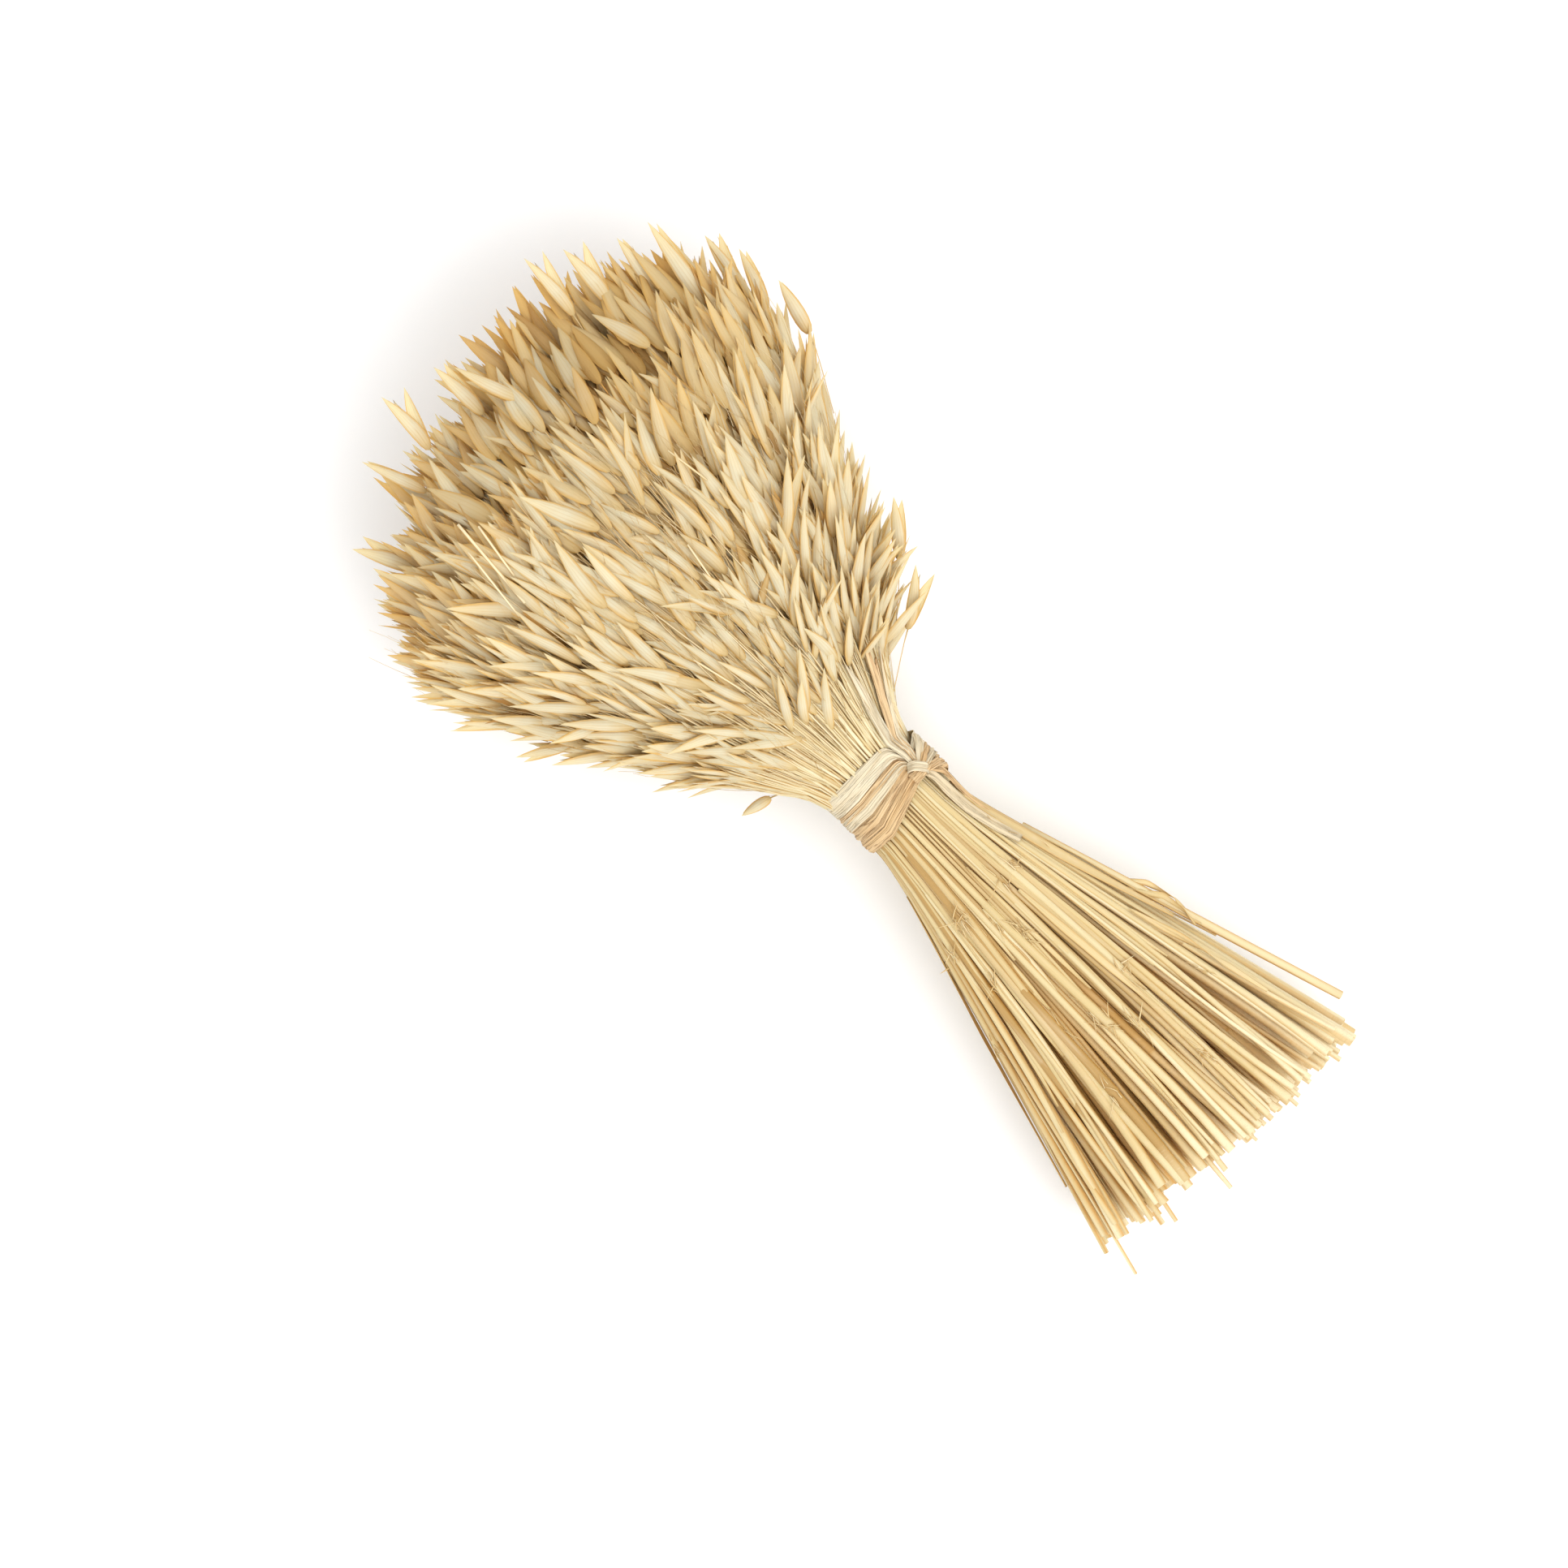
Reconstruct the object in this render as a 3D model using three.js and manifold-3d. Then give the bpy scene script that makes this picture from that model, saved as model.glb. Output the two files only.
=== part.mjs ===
// A bundle of dried oats, tied at the waist with two ribbons of raffia and lying on its side.
// Millimetres, +Z up. +X runs from the cut straws to the tips of the heads, and the bundle lies on z = 0.
// The bundle is made of strands. A strand fans out below the tie as single straws, passes through the tie,
// and swells above it into a lobe of the head, which its spikelets stand out of.
import * as THREE from "three";
import { mergeVertices } from "three/addons/utils/BufferGeometryUtils.js";
import Module from "manifold-3d";

const wasm = await Module();
wasm.setup();
const { clamp, lerp } = THREE.MathUtils;

// Lengths along the bundle, from the middle of the tie
const FAN_REACH = 190; // to the cut ends of the straws
const SHOULDER = 165; // to the rim of the domed end of the head
const DOME = 55; // from that rim to the dome's pole
const TIE_HALF = 13; // half the width of the two ribbons side by side

// Sections: half widths, and half heights above and below the axis
const WAIST = 20; // radius of the bundle inside the tie
const TIE_HEIGHT = 46.5; // height of the axis at the tie
const TILT = 0.09; // rise of the axis per millimetre towards the head
const FAN_SLOPE = 0.285; // growth of the fan's half width per millimetre
const FAN_EASE = 10; // length over which the straws bend out of the tie
const FAN_UP = 0.4; // the fan's half heights grow by these shares of its half width's growth
const FAN_DOWN = 0.22;
const HEAD_FULL_AT = 190; // distance from the tie where the head reaches its full section
const HEAD_WIDE = 100;
const HEAD_UP = 66;
const HEAD_DOWN = 60;
const EVEN = 0.35; // spreads the stems evenly round a flat section
const PRESS = 1.6; // flattens the underside, where the bundle lies on its own weight

// Strands, in rings round the axis. A cell lies between two shares of the section's radius, and its
// straws stand in layers at such shares.
const RINGS = [
  {
    name: "outer", cells: 16, facets: 1, steps: 7, inner: 0.66, outer: 0.93,
    layers: [{ rho: 0.93, straws: 3 }, { rho: 0.76, straws: 1 }],
  },
  {
    name: "middle", cells: 8, facets: 2, steps: 5, inner: 0.345, outer: 0.6,
    layers: [{ rho: 0.56, straws: 3 }, { rho: 0.4, straws: 1 }],
  },
  {
    name: "heart", cells: 4, facets: 2, steps: 4, inner: 0.05, outer: 0.305,
    layers: [{ rho: 0.2, straws: 2 }],
  },
];
const SKIN = RINGS[0].outer;
const CELL_GAP = 0.5; // between neighbouring strands
const LEAST_GAP = 0.3; // between pieces that lie against each other
const LOBE_START = 4; // a lobe begins inside the tie

// Straws: radius at each distance from the tie, and the share of the radius by which they have sunk
const STRAW_SIDES = 4;
const STRAW_STOPS = [
  { at: -FAN_REACH, radius: 2.3, sunk: 0 },
  { at: -45, radius: 1.4, sunk: 0 },
  { at: -TIE_HALF, radius: 1.05, sunk: 0 },
  { at: TIE_HALF, radius: 1.05, sunk: 0 },
  { at: 62, radius: 0.8, sunk: 0.06 },
];
const STRAW_PITCH = 2.28; // between straws of one layer, in the tie
const CUT_SPREAD = 7; // the cut ends lie within this much of a straight line
const CUT_WANDER = 0.012; // and turn aside by up to this angle round the axis

// Spikelets: two long husks closed on each other, drawn as one keeled spindle
const SPIKELET_COUNT = 522;
const SPIKELET = {
  length: 33, halfWidth: 4.5, keel: 3, belly: 1, waist: 0.4, smallest: 0.86, largest: 1.12,
};
const SPIKELETS_FROM = 30; // the lowest ones stand this far above the tie
const FOOT = { below: 1.2, back: 2.5 }; // a foot's depth under the lobe's face, and its reach behind it
const LEAN = { far: 0.3, near: 0.5, nearUntil: 95, wobble: 0.06, loose: 0.6, looseShare: 0.12 };
const TURN = { flank: 0.14, dome: 0.21, roll: 0.5 };
const DOME_SPLAY = { least: 0.44, byRadius: 1.1 };
const DOME_CROWD = 1.4; // spikelets stand closer on the dome than on the flank, in this ratio
const RIM_ROOM = 0.03; // they keep this share of the radius inside their cell's rims
const TRIES = 5; // a spikelet that would touch another strand is drawn in and slimmed in this many steps
const DRAWN_IN = { aside: 0.4, size: 0.8 };
const GOLDEN_ANGLE = Math.PI * (3 - Math.sqrt(5));
const PRESSED = 1.2; // a tip that would pass through the floor lies this far in it, and is trimmed flat

// Raffia: a pale ribbon on the head's side of the tie and a tan one on the straws' side
const RIBBON = { inside: 20.3, pale: 0.9, tan: 1.3, bulge: 0.25, parting: 0.2, edge: 0.6, sides: 20 };
const KNOT = { at: -1, phi: 2.32, wide: 6, long: 7.5, high: 3, lift: 3.5, sides: 8, rows: 6 };
const TAIL = { thick: 0.9, steps: 5, turn: 0.8 };
const PALE_TAILS = [
  { to: 46, phi: 2.1, width: 6, tip: 3, start: 2.7, end: 2.3 },
  { to: 44, phi: 2.62, width: 5, tip: 3.4, start: 2.7, end: 2.3 },
];
const TAN_TAILS = [{ to: -52, phi: 2.66, width: 7, tip: 4, start: 3.1, end: 2.6 }];

const FLOOR = { long: 800, wide: 400, deep: 40 };
const OAT = { color: 0xdcc690, roughness: 0.72 };
const PALE_RAFFIA = { color: 0xe6d7b4, roughness: 0.6 };
const TAN_RAFFIA = { color: 0xd3aa74, roughness: 0.65 };

// A seeded draw between two numbers, the same on every run
let seed = 20261;
function draw(low, high) {
  seed = (seed * 1664525 + 1013904223) % 2 ** 32;
  return lerp(low, high, seed / 2 ** 32);
}

// Half width of the section at a distance s from the tie, and its half heights up and down
function section(s) {
  if (s < 0) {
    const run = Math.max(0, -s - TIE_HALF);
    const spread = FAN_SLOPE * (run - FAN_EASE * (1 - Math.exp(-run / FAN_EASE)));
    return { wide: WAIST + spread, up: WAIST + FAN_UP * spread, down: WAIST + FAN_DOWN * spread };
  }
  const share = Math.sin((Math.PI / 2) * clamp((s - TIE_HALF) / (HEAD_FULL_AT - TIE_HALF), 0, 1));
  return {
    wide: lerp(WAIST, HEAD_WIDE, share),
    up: lerp(WAIST, HEAD_UP, share),
    down: lerp(WAIST, HEAD_DOWN, share),
  };
}

const axisHeight = (s) => TIE_HEIGHT + TILT * s;

// The point at distance s from the tie, at angle phi round the axis and at a share rho of the radius.
// A stem keeps its phi and rho along its whole length, so stems never cross.
function place(s, phi, rho) {
  const { wide, up, down } = section(s);
  const flat = 1 - (up + down) / (2 * wide);
  const angle = phi + EVEN * flat * Math.sin(2 * phi);
  const lift = Math.sin(angle);
  const high = lift > 0 ? up * lift : -down * (1 - (1 + lift) ** (1 + PRESS * flat));
  return new THREE.Vector3(s, wide * rho * Math.cos(angle), axisHeight(s) + high * rho);
}

// The same point with the directions along the stems, round the bundle and out of it
function frameAt(s, phi, rho) {
  const step = 0.02;
  const point = place(s, phi, rho);
  const along = place(s + 1, phi, rho).sub(place(s - 1, phi, rho)).normalize();
  const around = place(s, phi + step, rho).sub(place(s, phi - step, rho)).normalize();
  const out = new THREE.Vector3().crossVectors(around, along).normalize();
  return { point, along, around, out };
}

// The head ends in a dome: the stems near the axis are the longest
const lobeEnd = (rho) => SHOULDER + DOME * Math.sqrt(1 - rho * rho);

// A closed geometry with every vertex moved, as a solid
function solidOf(geometry, move) {
  geometry.deleteAttribute("normal");
  geometry.deleteAttribute("uv");
  const merged = mergeVertices(geometry);
  const position = merged.getAttribute("position");
  const vertex = new THREE.Vector3();
  for (let i = 0; i < position.count; i++) {
    const moved = move(vertex.fromBufferAttribute(position, i));
    position.setXYZ(i, moved.x, moved.y, moved.z);
  }
  const triVerts = new Uint32Array(merged.index.array);
  return new wasm.Manifold(new wasm.Mesh({ numProp: 3, vertProperties: position.array, triVerts }));
}

function meshOf(name, solid, look) {
  const { vertProperties, triVerts } = solid.getMesh();
  const geometry = new THREE.BufferGeometry();
  geometry.setAttribute("position", new THREE.BufferAttribute(vertProperties, 3));
  geometry.setIndex(new THREE.BufferAttribute(triVerts, 1));
  const mesh = new THREE.Mesh(geometry, new THREE.MeshStandardMaterial({ ...look, metalness: 0 }));
  mesh.name = name;
  return mesh;
}

// A point of a strand's lobe, whose face is made of flat facets side by side. Across runs from -1 to 1
// over the cell.
function cellPoint(strand, across, s, rho) {
  const { ring, middle, span } = strand;
  const half = span / 2 - CELL_GAP / 2 / (rho * section(s).down);
  const share = (across + 1) / 2;
  const facet = Math.min(Math.floor(share * ring.facets), ring.facets - 1);
  const edge = (k) => place(s, middle + half * ((2 * k) / ring.facets - 1), rho);
  return edge(facet).lerp(edge(facet + 1), share * ring.facets - facet);
}

// The lobe of a strand: its cell of the section, swept from inside the tie to the dome
function lobe(strand) {
  const { ring } = strand;
  return solidOf(new THREE.BoxGeometry(2, 1, 1, ring.facets, 1, ring.steps), (v) => {
    const rho = lerp(ring.inner, ring.outer, v.y + 0.5);
    const step = Math.round((v.z + 0.5) * ring.steps);
    const s = step === 0 ? LOBE_START : lerp(TIE_HALF, lobeEnd(rho), (step - 1) / (ring.steps - 1));
    return cellPoint(strand, -v.x, s, rho);
  });
}

// One straw, from its cut end through the tie into its lobe. On the outside of the bundle it runs on
// over the lobe before it sinks in.
function straw(phi, rho) {
  const stops = rho === SKIN ? STRAW_STOPS : STRAW_STOPS.slice(0, -1);
  const cut = draw(-CUT_SPREAD, CUT_SPREAD);
  const wander = draw(-CUT_WANDER, CUT_WANDER);
  const stations = stops.map(({ at, radius, sunk }, i) => {
    const end = i === 0;
    return { radius, ...frameAt(end ? at + cut : at, end ? phi + wander : phi, rho - sunk) };
  });
  const last = stops.length - 1;
  return solidOf(new THREE.CylinderGeometry(1, 1, 1, STRAW_SIDES, last), (v) => {
    const { point, along, out, radius } = stations[Math.round((v.y + 0.5) * last)];
    const side = new THREE.Vector3().crossVectors(along, out);
    return point.clone().addScaledVector(side, v.x * radius).addScaledVector(out, v.z * radius);
  });
}

function makeStrand(ring, cell) {
  const span = (2 * Math.PI) / ring.cells;
  const middle = (cell + 0.5) * span;
  const name = `oat_strand_${ring.name}_${String(cell + 1).padStart(2, "0")}`;
  const strand = { name, ring, middle, span };
  strand.pieces = [lobe(strand)];
  for (const { rho, straws } of ring.layers) {
    const step = Math.min(span / straws, STRAW_PITCH / (rho * WAIST));
    for (let k = 0; k < straws; k++) {
      strand.pieces.push(straw(middle + (k - (straws - 1) / 2) * step, rho));
    }
  }
  return strand;
}

// A ribbon wound round the waist between two distances along the bundle
function band(from, to, thick) {
  const outside = RIBBON.inside + thick;
  const profile = [
    new THREE.Vector2(RIBBON.inside, from),
    new THREE.Vector2(outside, from),
    new THREE.Vector2(outside + RIBBON.bulge, (from + to) / 2),
    new THREE.Vector2(outside, to),
    new THREE.Vector2(RIBBON.inside, to),
    new THREE.Vector2(RIBBON.inside, from),
  ];
  const ring = new THREE.LatheGeometry(profile, RIBBON.sides);
  return solidOf(ring, (v) => new THREE.Vector3(v.y, v.z, axisHeight(v.y) + v.x));
}

// A loose end of ribbon that leaves the knot and lies on the stems
function tail({ to, phi, width, tip, start, end }) {
  return solidOf(new THREE.BoxGeometry(1, 1, 1, 1, 1, TAIL.steps), (v) => {
    const share = v.z + 0.5;
    const turned = lerp(KNOT.phi, phi, share ** TAIL.turn);
    const { point, along, out } = frameAt(lerp(KNOT.at, to, share), turned, SKIN);
    const across = new THREE.Vector3().crossVectors(out, along).multiplyScalar(Math.sign(to));
    return point
      .addScaledVector(across, v.x * lerp(width, tip, share))
      .addScaledVector(out, lerp(start, end, share) + v.y * TAIL.thick);
  });
}

// The knot: a flattened ball of folded ribbon on the tie. What lies against it is cut to a larger one.
function knot(larger = 0) {
  const { point, along, around, out } = frameAt(KNOT.at, KNOT.phi, 1);
  return solidOf(new THREE.SphereGeometry(1, KNOT.sides, KNOT.rows), (v) =>
    point
      .clone()
      .addScaledVector(along, v.x * (KNOT.wide + larger))
      .addScaledVector(out, KNOT.lift + v.y * (KNOT.high + larger))
      .addScaledVector(around, v.z * (KNOT.long + larger)),
  );
}

// One spikelet: a spindle from a foot to a tip, its keel turned towards up
function spikelet(foot, tip, up, size) {
  const along = tip.clone().sub(foot).normalize();
  const across = new THREE.Vector3().crossVectors(up, along).normalize();
  const proud = new THREE.Vector3().crossVectors(along, across);
  const waist = foot.clone().lerp(tip, SPIKELET.waist);
  return solidOf(new THREE.SphereGeometry(1, 3, 2), (v) => {
    if (v.y > 0.5) return tip;
    if (v.y < -0.5) return foot;
    const onKeel = v.x < -0.9;
    const aside = onKeel ? 0 : -Math.sign(v.z) * SPIKELET.halfWidth;
    const high = onKeel ? SPIKELET.keel : -SPIKELET.belly;
    return waist.clone().addScaledVector(across, size * aside).addScaledVector(proud, size * high);
  });
}

// The surface of the head as a walk up the flank and over the dome, with the area that it has passed
function walkHead() {
  const steps = 120;
  const walk = [];
  let area = 0;
  for (let i = 0; i <= 2 * steps; i++) {
    const flank = i <= steps;
    const rho = flank ? SKIN : SKIN * Math.cos((Math.PI / 2) * (i / steps - 1));
    const s = flank ? lerp(SPIKELETS_FROM, lobeEnd(SKIN), i / steps) : lobeEnd(rho);
    const { wide, up, down } = section(s);
    const girth = rho * (wide + (up + down) / 2) * (flank ? 1 : DOME_CROWD);
    const before = walk.at(-1) ?? { s, reach: rho * wide };
    area += girth * Math.hypot(s - before.s, rho * wide - before.reach);
    walk.push({ s, rho, flank, reach: rho * wide, area });
  }
  return walk;
}

// Where a spikelet's stalk leaves a lobe: on the flank at a distance s from the tie, and on the dome at
// a share rho of the radius
function onLobe(strand, across, { s, rho, flank }) {
  const { inner, outer } = strand.ring;
  if (flank) return cellPoint(strand, across, s, outer);
  const rim = cellPoint(strand, across, lobeEnd(outer), outer);
  return cellPoint(strand, across, lobeEnd(inner), inner).lerp(rim, (rho - inner) / (outer - inner));
}

// Whether a solid keeps its distance from every solid of a list
function isClear(solid, others) {
  const { min, max } = solid.boundingBox();
  const near = (box) =>
    [0, 1, 2].every((k) => min[k] - LEAST_GAP < box.max[k] && box.min[k] - LEAST_GAP < max[k]);
  return others.every((other) => !near(other.box) || solid.minGap(other.solid, LEAST_GAP) >= LEAST_GAP);
}

const withBox = (solid, owner) => ({ solid, owner, box: solid.boundingBox() });

// The draws that make each spikelet a little different
function drawHabit(s) {
  const nearTie = 1 - clamp((s - SPIKELETS_FROM) / (LEAN.nearUntil - SPIKELETS_FROM), 0, 1);
  const size = draw(SPIKELET.smallest, SPIKELET.largest);
  const loose = draw(0, 1) < LEAN.looseShare ? draw(0, LEAN.loose) : 0;
  const lean = lerp(LEAN.far, LEAN.near, nearTie) + loose * nearTie + draw(-LEAN.wobble, LEAN.wobble);
  return { size, lean, turn: draw(-1, 1), roll: draw(-TURN.roll, TURN.roll) };
}

// A spikelet on its strand. A share from 0 to 1 draws it in towards the strand's middle line.
function standSpikelet(strand, spot, aside, habit, drawnIn) {
  const size = habit.size * lerp(1, DRAWN_IN.size, drawnIn);
  const room = (SPIKELET.halfWidth * size) / (spot.rho * section(spot.s).down * strand.span);
  const edge = Math.max(0, 1 - room);
  const across = clamp(aside, -edge, edge) * lerp(1, DRAWN_IN.aside, drawnIn);
  const { along, around, out } = frameAt(spot.s, strand.middle + (across * strand.span) / 2, spot.rho);
  const splay = spot.flank ? 1 : DOME_SPLAY.least + DOME_SPLAY.byRadius * spot.rho;
  const turn = habit.turn * (spot.flank ? TURN.flank : TURN.dome) * (1 - drawnIn);
  const towards = along
    .clone()
    .multiplyScalar(Math.cos(habit.lean))
    .addScaledVector(out, splay * Math.sin(habit.lean))
    .addScaledVector(around, turn)
    .normalize();
  const foot = onLobe(strand, across, spot)
    .addScaledVector(spot.flank ? out : along, -FOOT.below)
    .addScaledVector(towards, -FOOT.back);
  const tip = foot.clone().addScaledVector(towards, habit.size * SPIKELET.length);
  tip.z = Math.max(tip.z, -PRESSED);
  return spikelet(foot, tip, out.addScaledVector(around, habit.roll * (1 - drawnIn)), size);
}

// Where a step of the walk over the head lies on the strands
function findSpot(step, ring) {
  if (step.flank) return step;
  const rho = clamp(step.rho, ring.inner + RIM_ROOM, ring.outer - RIM_ROOM);
  return { flank: false, rho, s: lobeEnd(rho) };
}

// The spikelets are spread over the head by the golden angle, each on the strand below it
function growSpikelets(strands, ribbons) {
  const walk = walkHead();
  const grown = ribbons.map((ribbon) => withBox(ribbon, null));
  for (const strand of strands) {
    for (const piece of strand.pieces) grown.push(withBox(piece, strand));
  }
  for (let i = 0; i < SPIKELET_COUNT; i++) {
    const area = ((i + 0.5) / SPIKELET_COUNT) * walk.at(-1).area;
    const step = walk.find((passed) => passed.area >= area);
    const ring = RINGS.find(({ inner }) => step.rho >= inner) ?? RINGS.at(-1);
    const phi = (i * GOLDEN_ANGLE) % (2 * Math.PI);
    const strand = strands.find((s) => s.ring === ring && phi < s.middle + s.span / 2);
    const spot = findSpot(step, ring);
    const habit = drawHabit(spot.s);
    const others = grown.filter(({ owner }) => owner !== strand);
    for (let turn = 0; turn < TRIES; turn++) {
      const aside = (2 * (phi - strand.middle)) / strand.span;
      const made = standSpikelet(strand, spot, aside, habit, turn / TRIES);
      if (!isClear(made, others)) continue;
      grown.push(withBox(made, strand));
      strand.pieces.push(made);
      break;
    }
  }
}

const strands = [];
for (const ring of RINGS) {
  for (let cell = 0; cell < ring.cells; cell++) strands.push(makeStrand(ring, cell));
}
const bandEnd = TIE_HALF - RIBBON.edge;
const paleBand = band(RIBBON.parting, bandEnd, RIBBON.pale);
const tanBand = band(-bandEnd, -RIBBON.parting, RIBBON.tan);
const pale = wasm.Manifold.union([paleBand, knot(), ...PALE_TAILS.map(tail)]);
const tan = wasm.Manifold.union([tanBand, ...TAN_TAILS.map(tail)]).subtract(knot(LEAST_GAP));
growSpikelets(strands, [pale, tan]);

// What reaches into the surface that the bundle lies on is pressed flat there
const underFloor = new THREE.BoxGeometry(FLOOR.long, FLOOR.wide, FLOOR.deep);
const floor = solidOf(underFloor, (v) => v.setZ(v.z - FLOOR.deep / 2));

const bundle = new THREE.Group();
for (const { name, pieces } of strands) {
  bundle.add(meshOf(name, wasm.Manifold.union(pieces).subtract(floor), OAT));
}
bundle.add(meshOf("raffia_ribbon_pale", pale, PALE_RAFFIA));
bundle.add(meshOf("raffia_ribbon_tan", tan, TAN_RAFFIA));

// The origin is on the surface, under the middle of the bundle's box
const box = new THREE.Box3().setFromObject(bundle);
const centre = box.getCenter(new THREE.Vector3());
bundle.position.set(-centre.x, -centre.y, -box.min.z);

export default bundle;
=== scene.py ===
# The looks of a bundle of dried oats: papery spikelets, cut straws and raffia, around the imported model.
# The bundle lies on z = 0, and +X runs from the cut straws to the tips of the heads. Lengths are in
# millimetres while shapes are worked out, and in metres in every Blender object.
import math

import bpy
import numpy as np
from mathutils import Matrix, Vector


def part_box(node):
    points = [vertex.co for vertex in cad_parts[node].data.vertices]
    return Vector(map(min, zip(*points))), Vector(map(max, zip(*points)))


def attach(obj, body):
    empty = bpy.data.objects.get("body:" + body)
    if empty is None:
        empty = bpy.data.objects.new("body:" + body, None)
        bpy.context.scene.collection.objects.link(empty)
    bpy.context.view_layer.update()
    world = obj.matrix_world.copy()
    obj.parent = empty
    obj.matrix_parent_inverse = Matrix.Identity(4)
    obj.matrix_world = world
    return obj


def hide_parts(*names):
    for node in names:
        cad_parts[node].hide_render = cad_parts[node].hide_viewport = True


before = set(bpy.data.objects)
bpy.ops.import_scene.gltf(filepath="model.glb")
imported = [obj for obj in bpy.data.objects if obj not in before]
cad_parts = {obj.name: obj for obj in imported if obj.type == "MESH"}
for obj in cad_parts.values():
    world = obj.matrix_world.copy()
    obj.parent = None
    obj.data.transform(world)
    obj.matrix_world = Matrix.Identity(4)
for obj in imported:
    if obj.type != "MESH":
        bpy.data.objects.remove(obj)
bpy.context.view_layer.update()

# The middle of the tie and the bundle's axis, read from the tan ribbon, whose edge lies just short of
# that middle and whose widest ring is this far from the axis.
MM = 0.001
RIBBON_EDGE = 0.2
RIBBON_REACH = 21.85
_, tan_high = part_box("raffia_ribbon_tan")
tie_x = tan_high[0] / MM + RIBBON_EDGE
axis_y = tan_high[1] / MM - RIBBON_REACH

# The camera looks straight down at the bundle, which lies cornerwise in the picture with its head at
# the upper left. A long lens from far off keeps it free of perspective, as in a catalogue picture.
VIEW_CENTRE = (30.5, 26.5, 60.0)
VIEW_WIDE = 604.0
VIEW_ROLL = math.radians(225)
CAMERA_AWAY = 2600.0
SENSOR = 36.0

camera_data = bpy.data.cameras.new("camera")
camera_data.sensor_width = SENSOR
camera_data.sensor_height = SENSOR
camera_data.lens = SENSOR * CAMERA_AWAY / VIEW_WIDE
camera = bpy.data.objects.new("camera", camera_data)
camera.location = (
    (tie_x + VIEW_CENTRE[0]) * MM,
    (axis_y + VIEW_CENTRE[1]) * MM,
    (VIEW_CENTRE[2] + CAMERA_AWAY) * MM,
)
camera.rotation_euler = (0, 0, VIEW_ROLL)
bpy.context.collection.objects.link(camera)
bpy.context.scene.camera = camera

# A wide pale floor under soft, even studio light: one large lamp high up beyond the cut straws, a
# weaker one beyond the head, and a pale room all round.
FLOOR_HALF = 6.0
FLOOR_COLOUR = (0.94, 0.945, 0.955)
ROOM_COLOUR = (1.0, 0.995, 0.98)
ROOM_LIGHT = 1.13
LAMPS = (
    {"name": "key_lamp", "place": (-1.4, -0.1, 1.9), "size": 2.0, "power": 35},
    {"name": "fill_lamp", "place": (1.3, -0.9, 1.9), "size": 1.8, "power": 4},
)

floor_mesh = bpy.data.meshes.new("floor")
corners = [(-FLOOR_HALF, -FLOOR_HALF, 0), (FLOOR_HALF, -FLOOR_HALF, 0)]
corners += [(x, -y, z) for x, y, z in reversed(corners)]
floor_mesh.from_pydata(corners, [], [(0, 1, 2, 3)])
floor = bpy.data.objects.new("floor", floor_mesh)
bpy.context.collection.objects.link(floor)
floor_finish = bpy.data.materials.new("floor")
floor_finish.use_nodes = True
floor_shader = floor_finish.node_tree.nodes["Principled BSDF"]
floor_shader.inputs["Base Color"].default_value = (*FLOOR_COLOUR, 1)
floor_shader.inputs["Roughness"].default_value = 0.9
floor_mesh.materials.append(floor_finish)

room = bpy.data.worlds.new("room")
bpy.context.scene.world = room
room.use_nodes = True
room.node_tree.nodes["Background"].inputs["Color"].default_value = (*ROOM_COLOUR, 1)
room.node_tree.nodes["Background"].inputs["Strength"].default_value = ROOM_LIGHT
for lamp in LAMPS:
    light = bpy.data.lights.new(lamp["name"], "AREA")
    light.size = lamp["size"]
    light.energy = lamp["power"]
    holder = bpy.data.objects.new(lamp["name"], light)
    holder.location = lamp["place"]
    to_bundle = -holder.location.normalized()
    holder.rotation_euler = to_bundle.to_track_quat("-Z", "Y").to_euler()
    bpy.context.collection.objects.link(holder)
bpy.context.scene.view_settings.view_transform = "Standard"

# How the stems run. They fan out below the tie, pass through it side by side, and spread above it into
# the head. A stem keeps its angle phi round the axis and its share rho of the section's radius.
SHOULDER = 165.0
DOME = 55.0
TIE_HALF = 13.0
WAIST = 20.0
TIE_HEIGHT = 46.5
TILT = 0.09
FAN_SLOPE = 0.285
FAN_EASE = 10.0
FAN_UP = 0.4
FAN_DOWN = 0.22
HEAD_FULL_AT = 190.0
HEAD_WIDE = 100.0
HEAD_UP = 66.0
HEAD_DOWN = 60.0
EVEN = 0.35
PRESS = 1.6
PRESSED_FROM = 1.5
PRESSED_TO = 0.3
PINCH = 0.055
PINCHED_AT = 13.0
PINCH_LONG = 7.0
SMALL_TURN = 0.02


def reached(s, start, end):
    """How far s has come on the way from start to end, from 0 to 1."""
    return np.clip((s - start) / (end - start), 0, 1)


def section(s):
    """Half the bundle's width at s, and its height over the axis and under it."""
    run = np.maximum(0, -s - TIE_HALF)
    spread = FAN_SLOPE * (run - FAN_EASE * (1 - np.exp(-run / FAN_EASE)))
    share = np.sin(np.pi / 2 * reached(s, TIE_HALF, HEAD_FULL_AT))
    wide = WAIST + spread + (HEAD_WIDE - WAIST) * share
    up = WAIST + FAN_UP * spread + (HEAD_UP - WAIST) * share
    down = WAIST + FAN_DOWN * spread + (HEAD_DOWN - WAIST) * share
    return wide, up, down


def place(s, phi, rho):
    """The point at s on the stem that runs at phi and rho."""
    wide, up, down = section(s)
    flat = 1 - (up + down) / (2 * wide)
    angle = phi + EVEN * flat * np.sin(2 * phi)
    lift = np.sin(angle)
    sunk = 1 - np.maximum(1 + lift, 0) ** (1 + PRESS * flat)
    high = np.where(lift > 0, up * lift, -down * sunk)
    x, y, z = tie_x + s, axis_y + wide * rho * np.cos(angle), TIE_HEIGHT + TILT * s + high * rho
    return np.stack(np.broadcast_arrays(x, y, z), axis=-1)


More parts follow.
